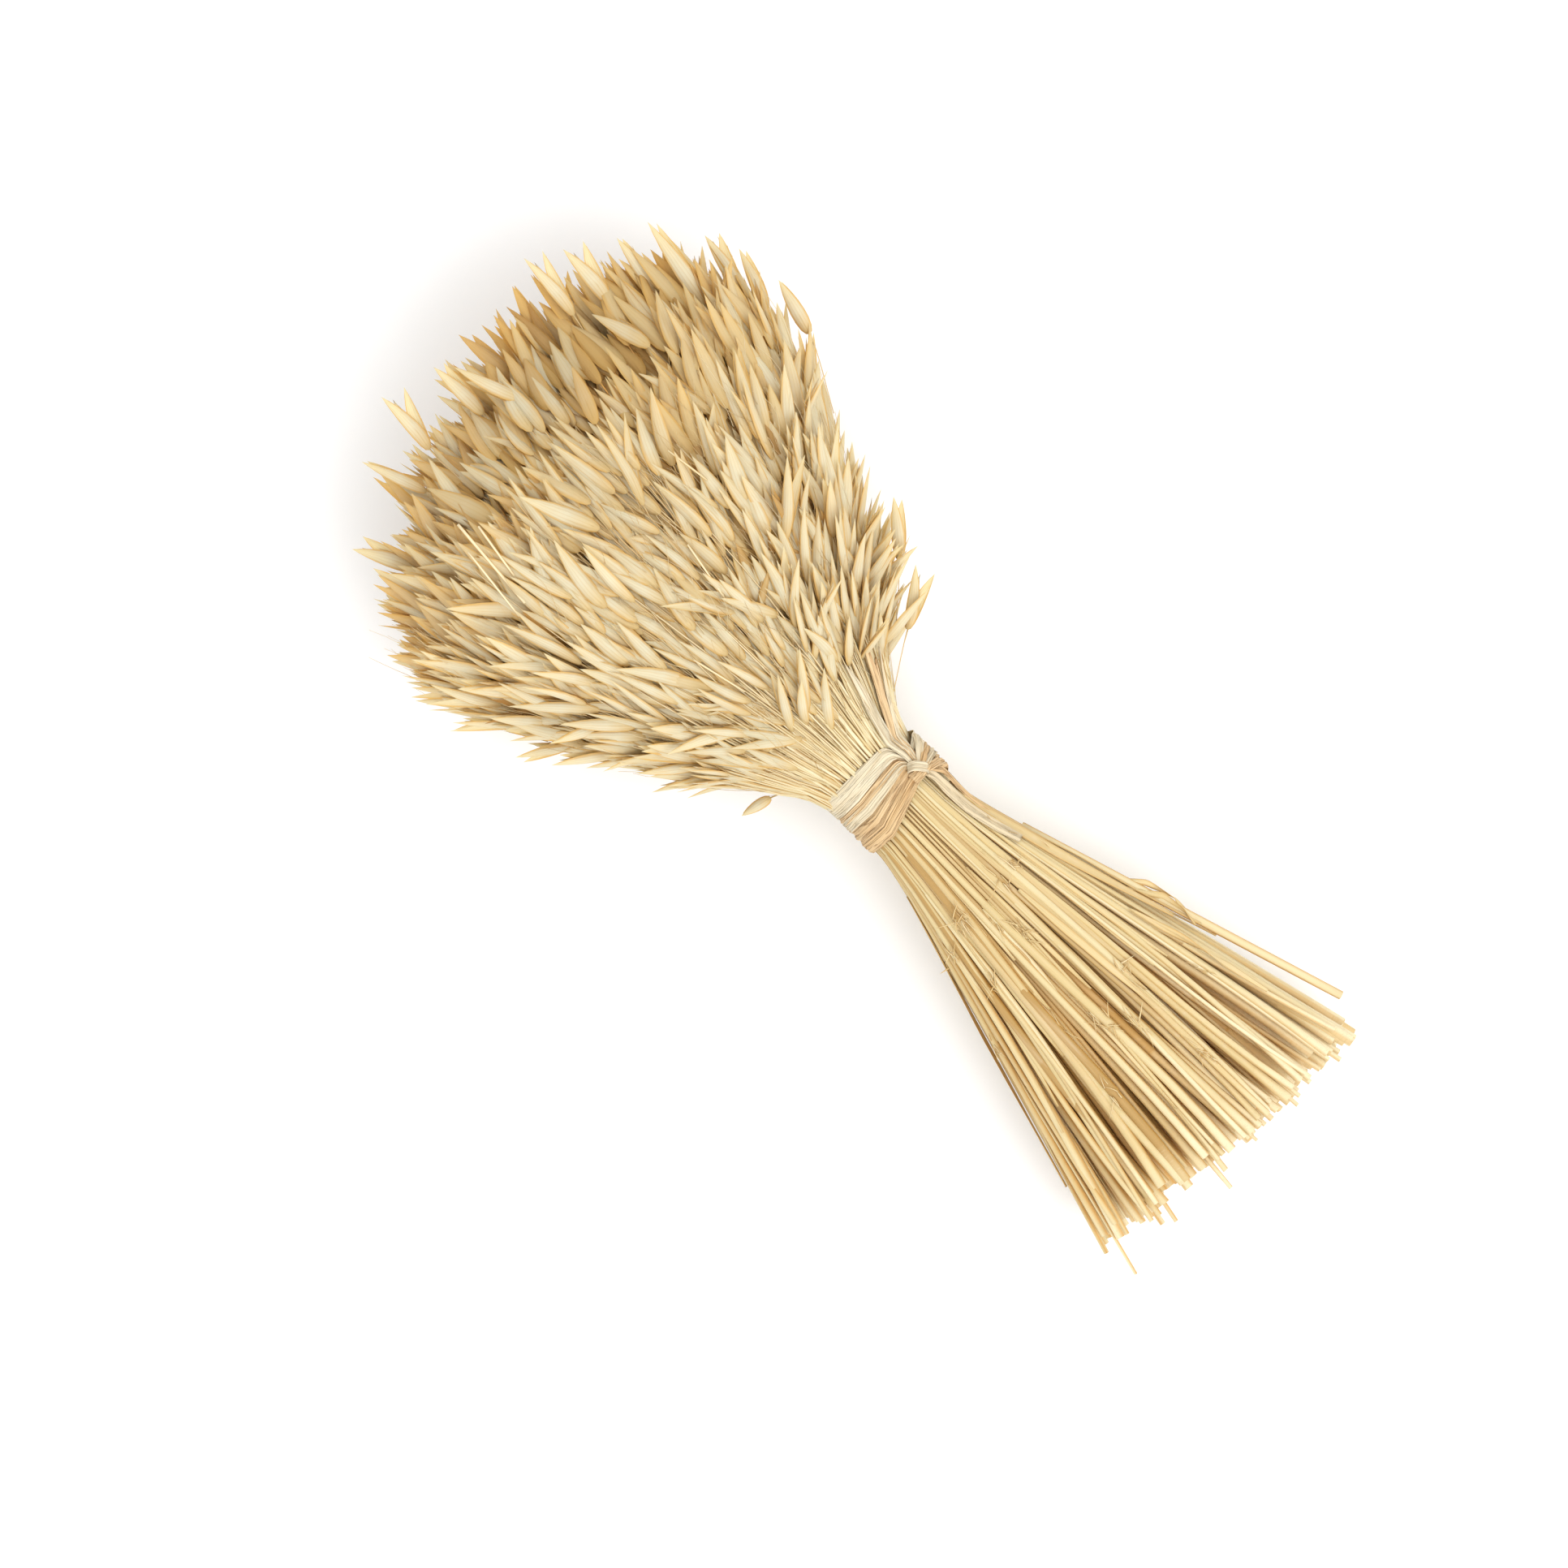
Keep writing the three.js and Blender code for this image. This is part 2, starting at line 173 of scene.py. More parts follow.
def unit(vectors):
    return vectors / np.maximum(np.linalg.norm(vectors, axis=-1, keepdims=True), 1e-9)


def directions(s, phi, rho):
    """The ways along the stem, round the bundle and out of it."""
    along = unit(place(s + 1, phi, rho) - place(s - 1, phi, rho))
    around = unit(place(s, phi + SMALL_TURN, rho) - place(s, phi - SMALL_TURN, rho))
    return along, around, unit(np.cross(around, along))


def pinch(s):
    """How far the ribbons' edge presses the stems inwards there."""
    return PINCH * np.exp(-((s - PINCHED_AT) / PINCH_LONG) ** 2)


def lobe_end(rho):
    return SHOULDER + DOME * np.sqrt(1 - np.minimum(rho, 1) ** 2)


def on_floor(points):
    """What reaches down to the surface is pressed flat on it."""
    z = points[..., 2]
    ease = PRESSED_FROM - PRESSED_TO
    pressed = PRESSED_TO + ease * np.exp(np.minimum(z - PRESSED_FROM, 0) / ease)
    points[..., 2] = np.where(z < PRESSED_FROM, pressed, z)
    return points


# The strands that the bundle is made of. Everything that grows is a grid of rows and columns between two
# poles; it is kept with the strand that it belongs to, and the strands' meshes are made of it at the end.
RINGS = (("outer", 16, 0.65), ("middle", 8, 0.32), ("heart", 4, 0.0))
chance = np.random.default_rng(20261)
strand_names = [f"oat_strand_{name}_{k + 1:02d}" for name, cells, _ in RINGS for k in range(cells)]
grown = []


def strand_of(phi, rho):
    owner = np.zeros(len(phi), int)
    first = 0
    outside = np.full(len(phi), True)
    for _, cells, inner in RINGS:
        cell = first + np.floor((phi % (2 * np.pi)) / (2 * np.pi) * cells).astype(int)
        inside = outside & (rho >= inner)
        owner[inside] = np.minimum(cell, first + cells - 1)[inside]
        outside &= rho < inner
        first += cells
    return owner


def grid(points, rows, columns, closed, across, along, tone, deep, owner, look):
    """Many pieces of one kind. A value may be one number, one for each piece or one for each point."""
    count, size = points.shape[:2]
    values = {"across": across, "along": along, "tone": tone, "deep": deep}
    for name, value in values.items():
        value = np.asarray(value, float)
        each_piece = value[:, None] if value.shape == (count,) and count != size else value
        values[name] = np.broadcast_to(each_piece, (count, size))
    kind = {"rows": rows, "columns": columns, "closed": closed, "owner": owner, "look": look}
    return {"points": on_floor(points), **kind, **values}


def keep(*made):
    grown.append(grid(*made))


def tube(path, along, out, radius, sides):
    """Round tubes along many paths at once, with a pole at each end."""
    side = unit(np.cross(along, out))
    over = np.cross(side, along)
    turn = 2 * np.pi * np.arange(sides)[:, None] / sides
    outwards = np.cos(turn) * side[:, :, None] - np.sin(turn) * over[:, :, None]
    wall = path[:, :, None] + radius[:, :, None, None] * outwards
    return np.concatenate([wall.reshape(len(path), -1, 3), path[:, [0, -1]]], axis=1)


def each_point(stations, sides):
    """A value for each station of a tube, given to all the points of that station."""
    rows = np.repeat(stations, sides, axis=-1)
    return np.concatenate([rows, stations[..., :1], stations[..., -1:]], axis=-1)


def tube_grain(stations, sides, lengths):
    """Across a tube's wall from 0 to 1 and back, and along it in the given lengths."""
    across = np.abs(2 * np.arange(sides) / sides - 1)
    across = np.concatenate([np.tile(across, stations), [0.5, 0.5]])
    return across, each_point(lengths, sides)


def keep_tubes(path, out, radius, sides, lengths, tone, deep, owner, along=None):
    """Tubes of straw. Their ways out and their radii are given for each tube or for each station."""
    along = unit(np.gradient(path, axis=1)) if along is None else along
    stations = path.shape[1]
    out, radius = np.broadcast_to(out, path.shape), np.broadcast_to(radius, path.shape[:2])
    grain = tube_grain(stations, sides, lengths)
    keep(tube(path, along, out, radius, sides), stations, sides, True, *grain, tone, deep, owner, 0)


# The straws: hollow dry stems, pale yellow to golden, cut off in nearly a straight line. They are
# squeezed thin in the tie, and some have a knuckle with a leaf sheath wrapped round the stem above it.
STRAW_LAYERS = (0.96, 0.85, 0.74, 0.63, 0.51, 0.39, 0.27, 0.13)
STRAW_PITCH = 1.4
STRAW_STRAY = 0.7
STRAW_SIDES = 7
STRAW_STOPS = np.linspace(1, 0.09, 11)
CUT_AT = -188.0
CUT_SPREAD = 4.5
CUT_SLANT = 4.0
LONG_SHARE = 0.04
LONG_BY = (6.0, 13.0)
LONG_THIN = 0.6
STRAW_END = (0.9, 2.4)
STRAW_HOLLOW = 0.62
HOLLOW_DEEP = 5.0
STRAW_THICK = ((-190, -45, -13, 13, 62), (1.0, 0.74, 0.48, 0.42, 0.2))
STRAW_TOP = (58.0, 100.0)
STRAW_TOP_STOPS = np.linspace(0.1, 1, 5)
STRAW_SINKS = 0.07
STRAW_SUNK_AT = 73.0
STRAW_SWAY = (0.07, 0.05)
STRAW_LEAN = 0.13
STRAW_WAVES = (2.0, 5.0)
WAVE_START = 6.3
UNDERSIDE_RISES = 0.06
KNUCKLE_AT = (-165.0, -25.0)
KNUCKLE_SHARE = 0.45
KNUCKLE_HALF = 1.2
KNUCKLE_STOPS = (-1.6, 0.0, 1.6)
KNUCKLE_SWELL = 0.28
SHEATH_SWELL = 0.17
SHEATH_LONG = (25.0, 70.0)
SHEATH_STOPS = (-0.4, 0.4)
STRAW_TONE = (0.47, 0.2)
PALEST_STRAW = 0.18
SHEATH_TONE = (-0.2, 0.3)
KNUCKLE_TONE = 0.5
TOP_TONE = 0.55
CUT_TONE = 0.3
TONE_ALONG = ((-190, -150, -120, -60, -15, 0), (-0.1, 0.0, 0.12, 0.14, 0.1, 0.0))
TONE_ACROSS = 0.16
PAINTED_SHADE_BELOW = 0.93
PAINTED_SHADE_ALONG = ((-190, -172, -120, -15, 30, 60), (0.15, 0.6, 1.0, 1.0, 0.4, 0.5))


def scatter(low, high, count):
    return chance.uniform(low, high, count)


def stray(reach, count):
    return scatter(-reach, reach, count)


straw_rho = []
straw_phi = []
for layer in STRAW_LAYERS:
    count = int(2 * np.pi * WAIST * layer / STRAW_PITCH)
    straw_rho.append(np.full(count, layer))
    straw_phi.append((np.arange(count) + STRAW_STRAY * chance.random(count)) * 2 * np.pi / count)
straw_rho = np.concatenate(straw_rho)
straw_phi = np.concatenate(straw_phi)
straws = len(straw_rho)

straw_end = CUT_AT + CUT_SLANT * np.cos(straw_phi) + stray(CUT_SPREAD, straws)
long_ones = chance.random(straws) < LONG_SHARE
straw_end -= np.where(long_ones, scatter(*LONG_BY, straws), 0)
straw_radius = scatter(*STRAW_END, straws) * np.where(long_ones, LONG_THIN, 1)
knuckle = scatter(*KNUCKLE_AT, straws)
has_knuckle = chance.random(straws) < KNUCKLE_SHARE
sheath_long = scatter(*SHEATH_LONG, straws)

fan_stops = straw_end[:, None] * STRAW_STOPS
knuckle_stops = knuckle[:, None] + np.array(KNUCKLE_STOPS)
sheath_stops = (knuckle + sheath_long)[:, None] + np.array(SHEATH_STOPS)
top_stops = scatter(*STRAW_TOP, straws)[:, None] * STRAW_TOP_STOPS
straw_s = np.sort(np.concatenate([fan_stops, knuckle_stops, sheath_stops, top_stops], axis=1), axis=1)
inside_cut = np.stack([straw_end + HOLLOW_DEEP, straw_end], axis=1)
straw_s = np.concatenate([inside_cut, straw_s], axis=1)

profile = np.interp(straw_s, *STRAW_THICK)
from_knuckle = straw_s - knuckle[:, None]
swell = KNUCKLE_SWELL * np.exp(-(from_knuckle / KNUCKLE_HALF) ** 2)
in_sheath = (from_knuckle > 1) & (from_knuckle < sheath_long[:, None]) & has_knuckle[:, None]
profile = profile * (1 + swell * has_knuckle[:, None] + SHEATH_SWELL * in_sheath)
profile[:, :2] *= STRAW_HOLLOW
run = np.maximum(0, -straw_s - TIE_HALF) / (-CUT_AT - TIE_HALF)
rise = reached(straw_s, TIE_HALF, STRAW_SUNK_AT)
wave = np.sin(run * scatter(*STRAW_WAVES, straws)[:, None] + scatter(0, WAVE_START, straws)[:, None])
sway_phi = STRAW_SWAY[0] * wave + stray(STRAW_LEAN, straws)[:, None]
sway_phi = straw_phi[:, None] + sway_phi * run
sway_rho = straw_rho[:, None] + STRAW_SWAY[1] * stray(1, straws)[:, None] * run - STRAW_SINKS * rise
sway_rho = sway_rho - pinch(straw_s) - UNDERSIDE_RISES * run * np.maximum(-np.cos(sway_phi), 0) ** 3
straw_path = place(straw_s, sway_phi, sway_rho)
straw_along, _, straw_out = directions(straw_s, sway_phi, sway_rho)
straw_tone = np.clip(chance.normal(*STRAW_TONE, straws), PALEST_STRAW, 1)[:, None]
straw_tone = straw_tone + in_sheath * scatter(*SHEATH_TONE, straws)[:, None]
straw_tone = straw_tone + KNUCKLE_TONE * has_knuckle[:, None] * (np.abs(from_knuckle) < 1)
straw_tone = straw_tone - TOP_TONE * (rise > 0)
straw_tone[:, :3] -= CUT_TONE
straw_tone = straw_tone + np.interp(straw_s, *TONE_ALONG)
straw_tone = straw_tone + TONE_ACROSS * np.cos(straw_phi)[:, None] * (rise == 0)
# Painted shade: the straws in the lower layers are coloured darker, less so by the cut ends and above the
# tie.
straw_painted_shade = np.clip(4 * (PAINTED_SHADE_BELOW - straw_rho), 0, 1)[:, None] * np.interp(straw_s, *PAINTED_SHADE_ALONG)
keep_tubes(
    straw_path, straw_out, profile * straw_radius[:, None], STRAW_SIDES, straw_s / 10,
    each_point(np.clip(straw_tone, 0, 1), STRAW_SIDES), each_point(straw_painted_shade, STRAW_SIDES),
    strand_of(straw_phi, straw_rho), straw_along,
)

# What lies loose on the straws: flat leaf sheaths that dried on the stems, and a straw that stands apart.
LEAVES = 44
LEAF_STATIONS = 26
LEAF_COLUMNS = 7
LEAF_THICK = 0.25
LEAF_FOLDS = 1.3
LEAF_FOLD_HIGH = (0.22, 0.1)
LEAF_GRAIN = (0.08, 0.92)
LEAF_FROM = (-60.0, -15.0)
LEAF_LONG = (40.0, 110.0)
LEAF_HALF = (0.9, 1.9)
LEAF_TONE = (0.3, 0.8)
LEAF_DRIFT = 0.09
LEAF_HIGH = (0.975, 1.01)
LEAF_LAST = -180.0
EDGE_THINS = 0.8


def ribbon(path, side, over, half, thick, folds, columns):
    """A flat strip along one path. Folds gives the height, number and phase of its lengthwise creases."""
    height, number, phase = folds
    v = np.linspace(-1, 1, columns)[None]
    crease = np.reshape(height, (-1, 1)) * np.sin(np.pi * number * v + np.reshape(phase, (-1, 1)))
    edge = 0.5 * thick * np.sqrt(1 - EDGE_THINS * v ** 2) + 0 * crease
    lift = np.concatenate([crease - edge, (crease + edge)[:, ::-1]], axis=1)
    reach = half[:, None] * np.concatenate([v, v[:, ::-1]], axis=1)
    wall = path[:, None] + reach[..., None] * side[:, None] + lift[..., None] * over[:, None]
    return np.concatenate([wall.reshape(-1, 3), path[[0, -1]]])[None]


def filled(count, *rows):
    """Each row of evenly spaced values, filled in to the given count of them."""
    steps = np.linspace(0, 1, count)
    return [np.interp(steps, np.linspace(0, 1, len(row)), row) for row in rows]


def lay_leaf(*stops):
    """A leaf sheath along the straws: its s, phi, rho, half width, tone and twist, evenly spaced along it."""
    s, phi, rho, half, tone, twist = filled(LEAF_STATIONS, *stops)
    path = place(s, phi, rho)
    ahead = unit(np.gradient(path, axis=0))
    _, _, out = directions(s, phi, rho)
    side = unit(np.cross(out, ahead))
    over = np.cross(ahead, side)
    turn = twist[:, None]
    side, over = np.cos(turn) * side + np.sin(turn) * over, np.cos(turn) * over - np.sin(turn) * side
    steps = np.linspace(0, 1, LEAF_STATIONS)
    crease = LEAF_FOLD_HIGH[0] + LEAF_FOLD_HIGH[1] * np.sin(7 * steps)
    folds = (crease, LEAF_FOLDS, 1.5 * np.sin(3 * steps) + 40 * half[0])
    v = np.linspace(*LEAF_GRAIN, LEAF_COLUMNS)
    across = np.append(np.tile(np.append(v, v[::-1]), LEAF_STATIONS), [0.5, 0.5])
    along, tone = (each_point(values, 2 * LEAF_COLUMNS) for values in (s / 10, tone))
    owner = strand_of(phi[:1], np.minimum(rho[:1], 0.99))
    strip = ribbon(path, side, over, half, LEAF_THICK, folds, LEAF_COLUMNS)
    keep(strip, LEAF_STATIONS, 2 * LEAF_COLUMNS, True, across, along, tone, 0.0, owner, 0)


leaf_phi = (np.arange(LEAVES) + 0.8 * chance.random(LEAVES)) * 2 * np.pi / LEAVES
for phi in leaf_phi:
    start = scatter(*LEAF_FROM, 4)[0]
    long, half, tone = (scatter(*span, 1)[0] for span in (LEAF_LONG, LEAF_HALF, LEAF_TONE))
    drift = stray(LEAF_DRIFT, 1)[0]
    high = scatter(*LEAF_HIGH, 1)[0]
    lay_leaf(
        (start, max(start - long, LEAF_LAST)), (phi, phi + drift), (high, high - 0.03, high),
        (0.3, half, half, half * 0.9, 0.4), (tone, tone - 0.25, tone), (0, drift * 6, 0),
    )

# The leaves that show most, each with its values in the order that lay_leaf takes.
LEAF_BLADES = (
    ((-14, -62, -112), (2.72, 2.78, 2.86), (1.04, 1.03, 1.04),
     (1.5, 2.6, 2.2, 1.2), (0.7, 0.6, 0.7), (0, 0.4, 0)),
    ((-20, -70, -122), (2.95, 3.0, 3.0), (1.03, 1.04, 1.05),
     (1.0, 2.3, 2.4, 0.8), (0.75, 0.8, 0.7), (0.2, -0.3, 0.6)),
    ((-86, -96, -108, -118), (3.02, 3.05, 3.1, 3.05), (1.03, 1.13, 1.12, 1.03),
     (0.5, 1.3, 1.2, 0.6), (0.4, 0.5), (0, 2.4, 4.8)),
    ((-92, -104, -114, -121), (2.95, 3.0, 2.98, 2.96), (1.02, 1.1, 1.08, 1.02),
     (0.5, 1.5, 1.2, 0.5), (0.5, 0.6), (0, 2.0, 3.6)),
    ((-98, -120, -140, -158), (2.62, 2.64, 2.66, 2.68), (1.01, 1.04, 1.03, 1.01),
     (0.6, 1.6, 1.9, 0.8), (0.5, 0.4), (0, 1.6, 3.0, 3.3)),
    ((-34, -90, -158), (0.1, 0.06, 0.04), (1.01, 1.03, 1.02),
     (0.6, 1.5, 1.7, 0.6), (0.9, 1.0, 0.9), (0.2, 0.6, 0.3)),
    ((-62, -96, -130), (1.9, 1.93, 1.95), (1.01, 1.015, 1.01),
     (0.7, 1.5, 1.4, 0.6), (0.45, 0.5), (0, 0.2)),
)
for blade in LEAF_BLADES:
    lay_leaf(*blade)

STICK_STATIONS = 7
STICK_SIDES = 6
LONE_STRAW = ((-46, -27.0, 46), (-181, -68.6, 34))
LONE_RADIUS = 1.75
LONE_BEND = 0.5
LONE_TONE = 0.25


def lay_stick(first, last, radius, bend, tone, owner):
    """A bare bit of straw between two ends, bowed upwards by the length in bend."""
    t = np.linspace(0, 1, STICK_STATIONS)[None, :, None]
    path = first[:, None] * (1 - t) + last[:, None] * t + bend * np.sin(np.pi * t) * (0, 0, 1)
    lengths = np.linalg.norm(last - first, axis=1)[:, None] * t[..., 0] / 10
    keep_tubes(path, (0, 0, 1), radius, STICK_SIDES, lengths, tone, 0.0, owner)


lone_ends = (np.array([end]) + (tie_x, axis_y, 0) for end in LONE_STRAW)
lone_owner = np.array([strand_names.index("oat_strand_outer_08")])
lay_stick(*lone_ends, LONE_RADIUS, LONE_BEND, LONE_TONE, lone_owner)

# Where a sheath has split at a knuckle, a tuft of short stiff slivers stands out from the straw.
TUFTS = 30
TUFT_SLIVERS = 7
SLIVER_LONG = (3.0, 11.0)
SLIVER_RADIUS = (0.15, 0.34)
SLIVER_STATIONS = 5
SLIVER_SIDES = 4
SLIVER_TONE = (0.1, 0.8)
SLIVER_ALONG = 4.0
SLIVER_SLANT = 0.22
SLIVER_STANDS = (0.02, 0.16)
SLIVER_BOW = (0.3, 0.2)

tufted = np.flatnonzero(has_knuckle & (straw_rho > 0.9))[:TUFTS]
tufted = np.repeat(tufted, TUFT_SLIVERS)
slivers = len(tufted)
station = np.argmin(np.abs(from_knuckle[tufted]), axis=1)
ahead, out = straw_along[tufted, station], straw_out[tufted, station]
side = np.cross(out, ahead)
wall = (profile[tufted, station] * straw_radius[tufted])[:, None]
start = straw_path[tufted, station] + wall * (0.9 * out + stray(0.8, slivers)[:, None] * side)
start = start + stray(SLIVER_ALONG, slivers)[:, None] * ahead
heading = stray(1, slivers)[:, None] * ahead + stray(SLIVER_SLANT, slivers)[:, None] * side
heading = unit(heading + scatter(*SLIVER_STANDS, slivers)[:, None] * out)
t = np.linspace(0, 1, SLIVER_STATIONS)[None, :, None]
long = scatter(*SLIVER_LONG, slivers)[:, None, None]
swing = stray(SLIVER_BOW[0], slivers)[:, None, None]
path = start[:, None] + long * (
    t * heading[:, None] + swing * t ** 2 * side[:, None] - SLIVER_BOW[1] * t ** 2 * out[:, None]
)
radius = scatter(*SLIVER_RADIUS, slivers)[:, None] * (1.05 - t[..., 0] ** 2)
keep_tubes(
    path, unit(out + 0.3 * side)[:, None], radius, SLIVER_SIDES, np.linspace(0, 0.5, SLIVER_STATIONS),
    scatter(*SLIVER_TONE, slivers), 0.0, strand_of(straw_phi[tufted], straw_rho[tufted]),
)

# The upper stalks: above the tie each straw divides into thin branches that run up over the head and
# carry the spikelets. They are bare for the first few centimetres.
BRANCHES = 950
BRANCH_SIDES = 4
BRANCH_STATIONS = 11
BRANCH_LAYER = (0.84, 1.0)
BRANCH_FROM = 5.0
BRANCH_TO = (50.0, 175.0)
BRANCH_RADIUS = (0.56, 0.2)
BRANCH_THICK = (0.7, 1.2)
BRANCH_WAVES = (2.0, 7.0)
BRANCH_WAVE = (0.06, 0.012)
BRANCH_TURNS = 0.12
BRANCH_SINKS = (-0.12, -0.02)
BRANCH_TONE = (0.0, 0.4)
BRANCH_SHADE_MOST = 0.5

branch_phi = scatter(0, 2 * np.pi, BRANCHES)
branch_rho = scatter(*BRANCH_LAYER, BRANCHES)
share = np.linspace(0, 1, BRANCH_STATIONS)[None]
branch_s = BRANCH_FROM + (scatter(*BRANCH_TO, BRANCHES)[:, None] - BRANCH_FROM) * share
wave = np.sin(share * scatter(*BRANCH_WAVES, BRANCHES)[:, None] + scatter(0, WAVE_START, BRANCHES)[:, None])
turns = stray(BRANCH_TURNS, BRANCHES)[:, None]
path_phi = branch_phi[:, None] + (BRANCH_WAVE[0] * wave + turns) * share
path_rho = branch_rho[:, None] + (scatter(*BRANCH_SINKS, BRANCHES)[:, None] + BRANCH_WAVE[1] * wave) * share
path_rho = path_rho - pinch(branch_s)
branch_along, _, branch_out = directions(branch_s, path_phi, path_rho)
thin = BRANCH_RADIUS[0] + (BRANCH_RADIUS[1] - BRANCH_RADIUS[0]) * share
thin = thin * scatter(*BRANCH_THICK, BRANCHES)[:, None]
# The lower branches get painted shade.
keep_tubes(
    place(branch_s, path_phi, path_rho), branch_out, thin, BRANCH_SIDES, branch_s / 10,
    scatter(*BRANCH_TONE, BRANCHES), np.clip(5 * (0.95 - branch_rho), 0, BRANCH_SHADE_MOST),
    strand_of(branch_phi, branch_rho), branch_along,
)

# The imported stalks inside the head: one thick sheaf for each strand, which lies in the shade of the
# spikelets and is coloured dark brown there as painted shade.
SHEAF_AT = (0.66, 0.42, 0.16)
SHEAF_THICK = (0.14, 0.17, 0.15)
SHEAF_FROM = 26.0
SHEAF_ROUNDS_FROM = 105.0
SHEAF_SHORT_OF_DOME = 30.0
SHEAF_SIDES = 10
SHEAF_STATIONS = 14
SHEAF_SHADE_TONE = 1.0
SHEAF_PAINTED_SHADE = 0.7

first = 0
for (_, cells, _), at, thick in zip(RINGS, SHEAF_AT, SHEAF_THICK):
    cell = np.arange(cells)
    end = lobe_end(at) - SHEAF_SHORT_OF_DOME
    sheaf_phi = ((cell + 0.5) * 2 * np.pi / cells)[:, None] + np.zeros(SHEAF_STATIONS)
    sheaf_s = np.linspace(SHEAF_FROM, end, SHEAF_STATIONS)[None] + 0 * sheaf_phi
    wide, up, down = section(sheaf_s)
    rounding = np.clip((sheaf_s - SHEAF_ROUNDS_FROM) / (end - SHEAF_ROUNDS_FROM), 0, 0.999)
    radius = thick * (2 * wide + up + down) / 4 * np.sqrt(1 - rounding ** 2)
    sheaf_along, _, sheaf_out = directions(sheaf_s, sheaf_phi, at)
    keep_tubes(
        place(sheaf_s, sheaf_phi, at), sheaf_out, radius, SHEAF_SIDES, sheaf_s / 10,
        SHEAF_SHADE_TONE, SHEAF_PAINTED_SHADE, first + cell, sheaf_along,
    )
    first += cells

# The spikelets: each is a pair of papery husks closed on each other like a boat with its lid, parted at
# their long points, with a narrower golden husk inside, on a hair-fine bent stalk.
SPIKELET_LONG = (25.0, 36.0)
HUSK_HALF = (2.1, 3.6)
HUSK_SIDEWAYS = 0.07
HUSK_OPENS_AT = 0.15
HUSK_GAPE = 0.06
HUSK_WRAP = 1.3
HUSK_BULGE = 0.72
HUSK_FOOT_ROUND = 0.5
HUSK_TIP_SHARP = 0.95
HUSK_WIDEST = 0.393
HUSK_ROWS = (0.035, 0.13, 0.27, 0.43, 0.6, 0.76, 0.9)
HUSK_COLUMNS = 5
CORE_LONG = 0.88
CORE_TIP = 0.12
CORE_HALF = 0.6
CORE_FOLLOWS = 0.35
CORE_GRAIN = 0.6
CORE_TONE = 0.12
CORE_SIDES = 4
CORE_ROWS = (0.1, 0.35, 0.65, 0.88)
STALK_BACK = (12.0, 26.0)
STALK_RADIUS = 0.24
STALK_FLARE = 1.8
STALK_SIDES = 3
STALK_STATIONS = 5
STALK_LEAVES_BY = 8.0
STALK_COMES_BY = 6.0
STALK_REACHES_IN = 0.6
STALK_TONE = 0.4
STALK_PAINTED_SHADE = 0.25


def husk_outline(u):
    """Half width of a husk along its length: round at the foot, long and pointed at the tip."""
    return u ** HUSK_FOOT_ROUND * (1 - u) ** HUSK_TIP_SHARP / HUSK_WIDEST


def grow_husk(foot, along, across, proud, long, half, opening, gape, side):
    """One husk of each spikelet. Side is 1 for the husk on top and -1 for the one under it."""
    u = np.array(HUSK_ROWS)[None, :, None]
    v = np.linspace(-1, 1, HUSK_COLUMNS)[None, None, :]
    width = half[:, None, None] * husk_outline(u)
    y = -side * width * np.sin(HUSK_WRAP * v) / np.sin(HUSK_WRAP)
    z = side * width * HUSK_BULGE * (np.cos(HUSK_WRAP * v) - np.cos(HUSK_WRAP)) + 0 * y
    z = z + side * (gape * long)[:, None, None] * u ** 2
    y = y + side * (opening * long)[:, None, None] * np.maximum(u - HUSK_OPENS_AT, 0) ** 1.5
    x = long[:, None, None] * u + 0 * y
    sheet = np.stack([x, y, z], axis=-1).reshape(len(foot), -1, 3)
    tip_y = side * opening * long * (1 - HUSK_OPENS_AT) ** 1.5
    tip = np.stack([long, tip_y, side * gape * long], axis=-1)
    local = np.concatenate([sheet, np.zeros((len(foot), 1, 3)), tip[:, None]], axis=1)
    axes = np.stack([along, across, proud], axis=1)
    return foot[:, None] + np.einsum("nmk,nkj->nmj", local, axes)


def grow_cores(foot, along, across, proud, long, half, opening, tone, deep, owner):
    """The narrow husk inside each spikelet, which bends a little way after the husk on top."""
    u = np.array(CORE_ROWS)
    path = foot[:, None] + (u * (CORE_LONG * long)[:, None])[..., None] * along[:, None]
    path = path + (CORE_FOLLOWS * opening * long)[:, None, None] * u[None, :, None] ** 2 * across[:, None]
    spine, out = (np.broadcast_to(way[:, None], path.shape) for way in (along, proud))
    core = tube(path, spine, out, CORE_HALF * half[:, None] * husk_outline(u)[None], CORE_SIDES)
    core[:, -1] += along * (CORE_TIP * CORE_LONG * long)[:, None]
    core[:, -2] = foot
    grain = tube_grain(len(u), CORE_SIDES, u * CORE_GRAIN)
    keep(core, len(u), CORE_SIDES, True, *grain, np.clip(tone + CORE_TONE, 0, 0.7), deep, owner, 1)


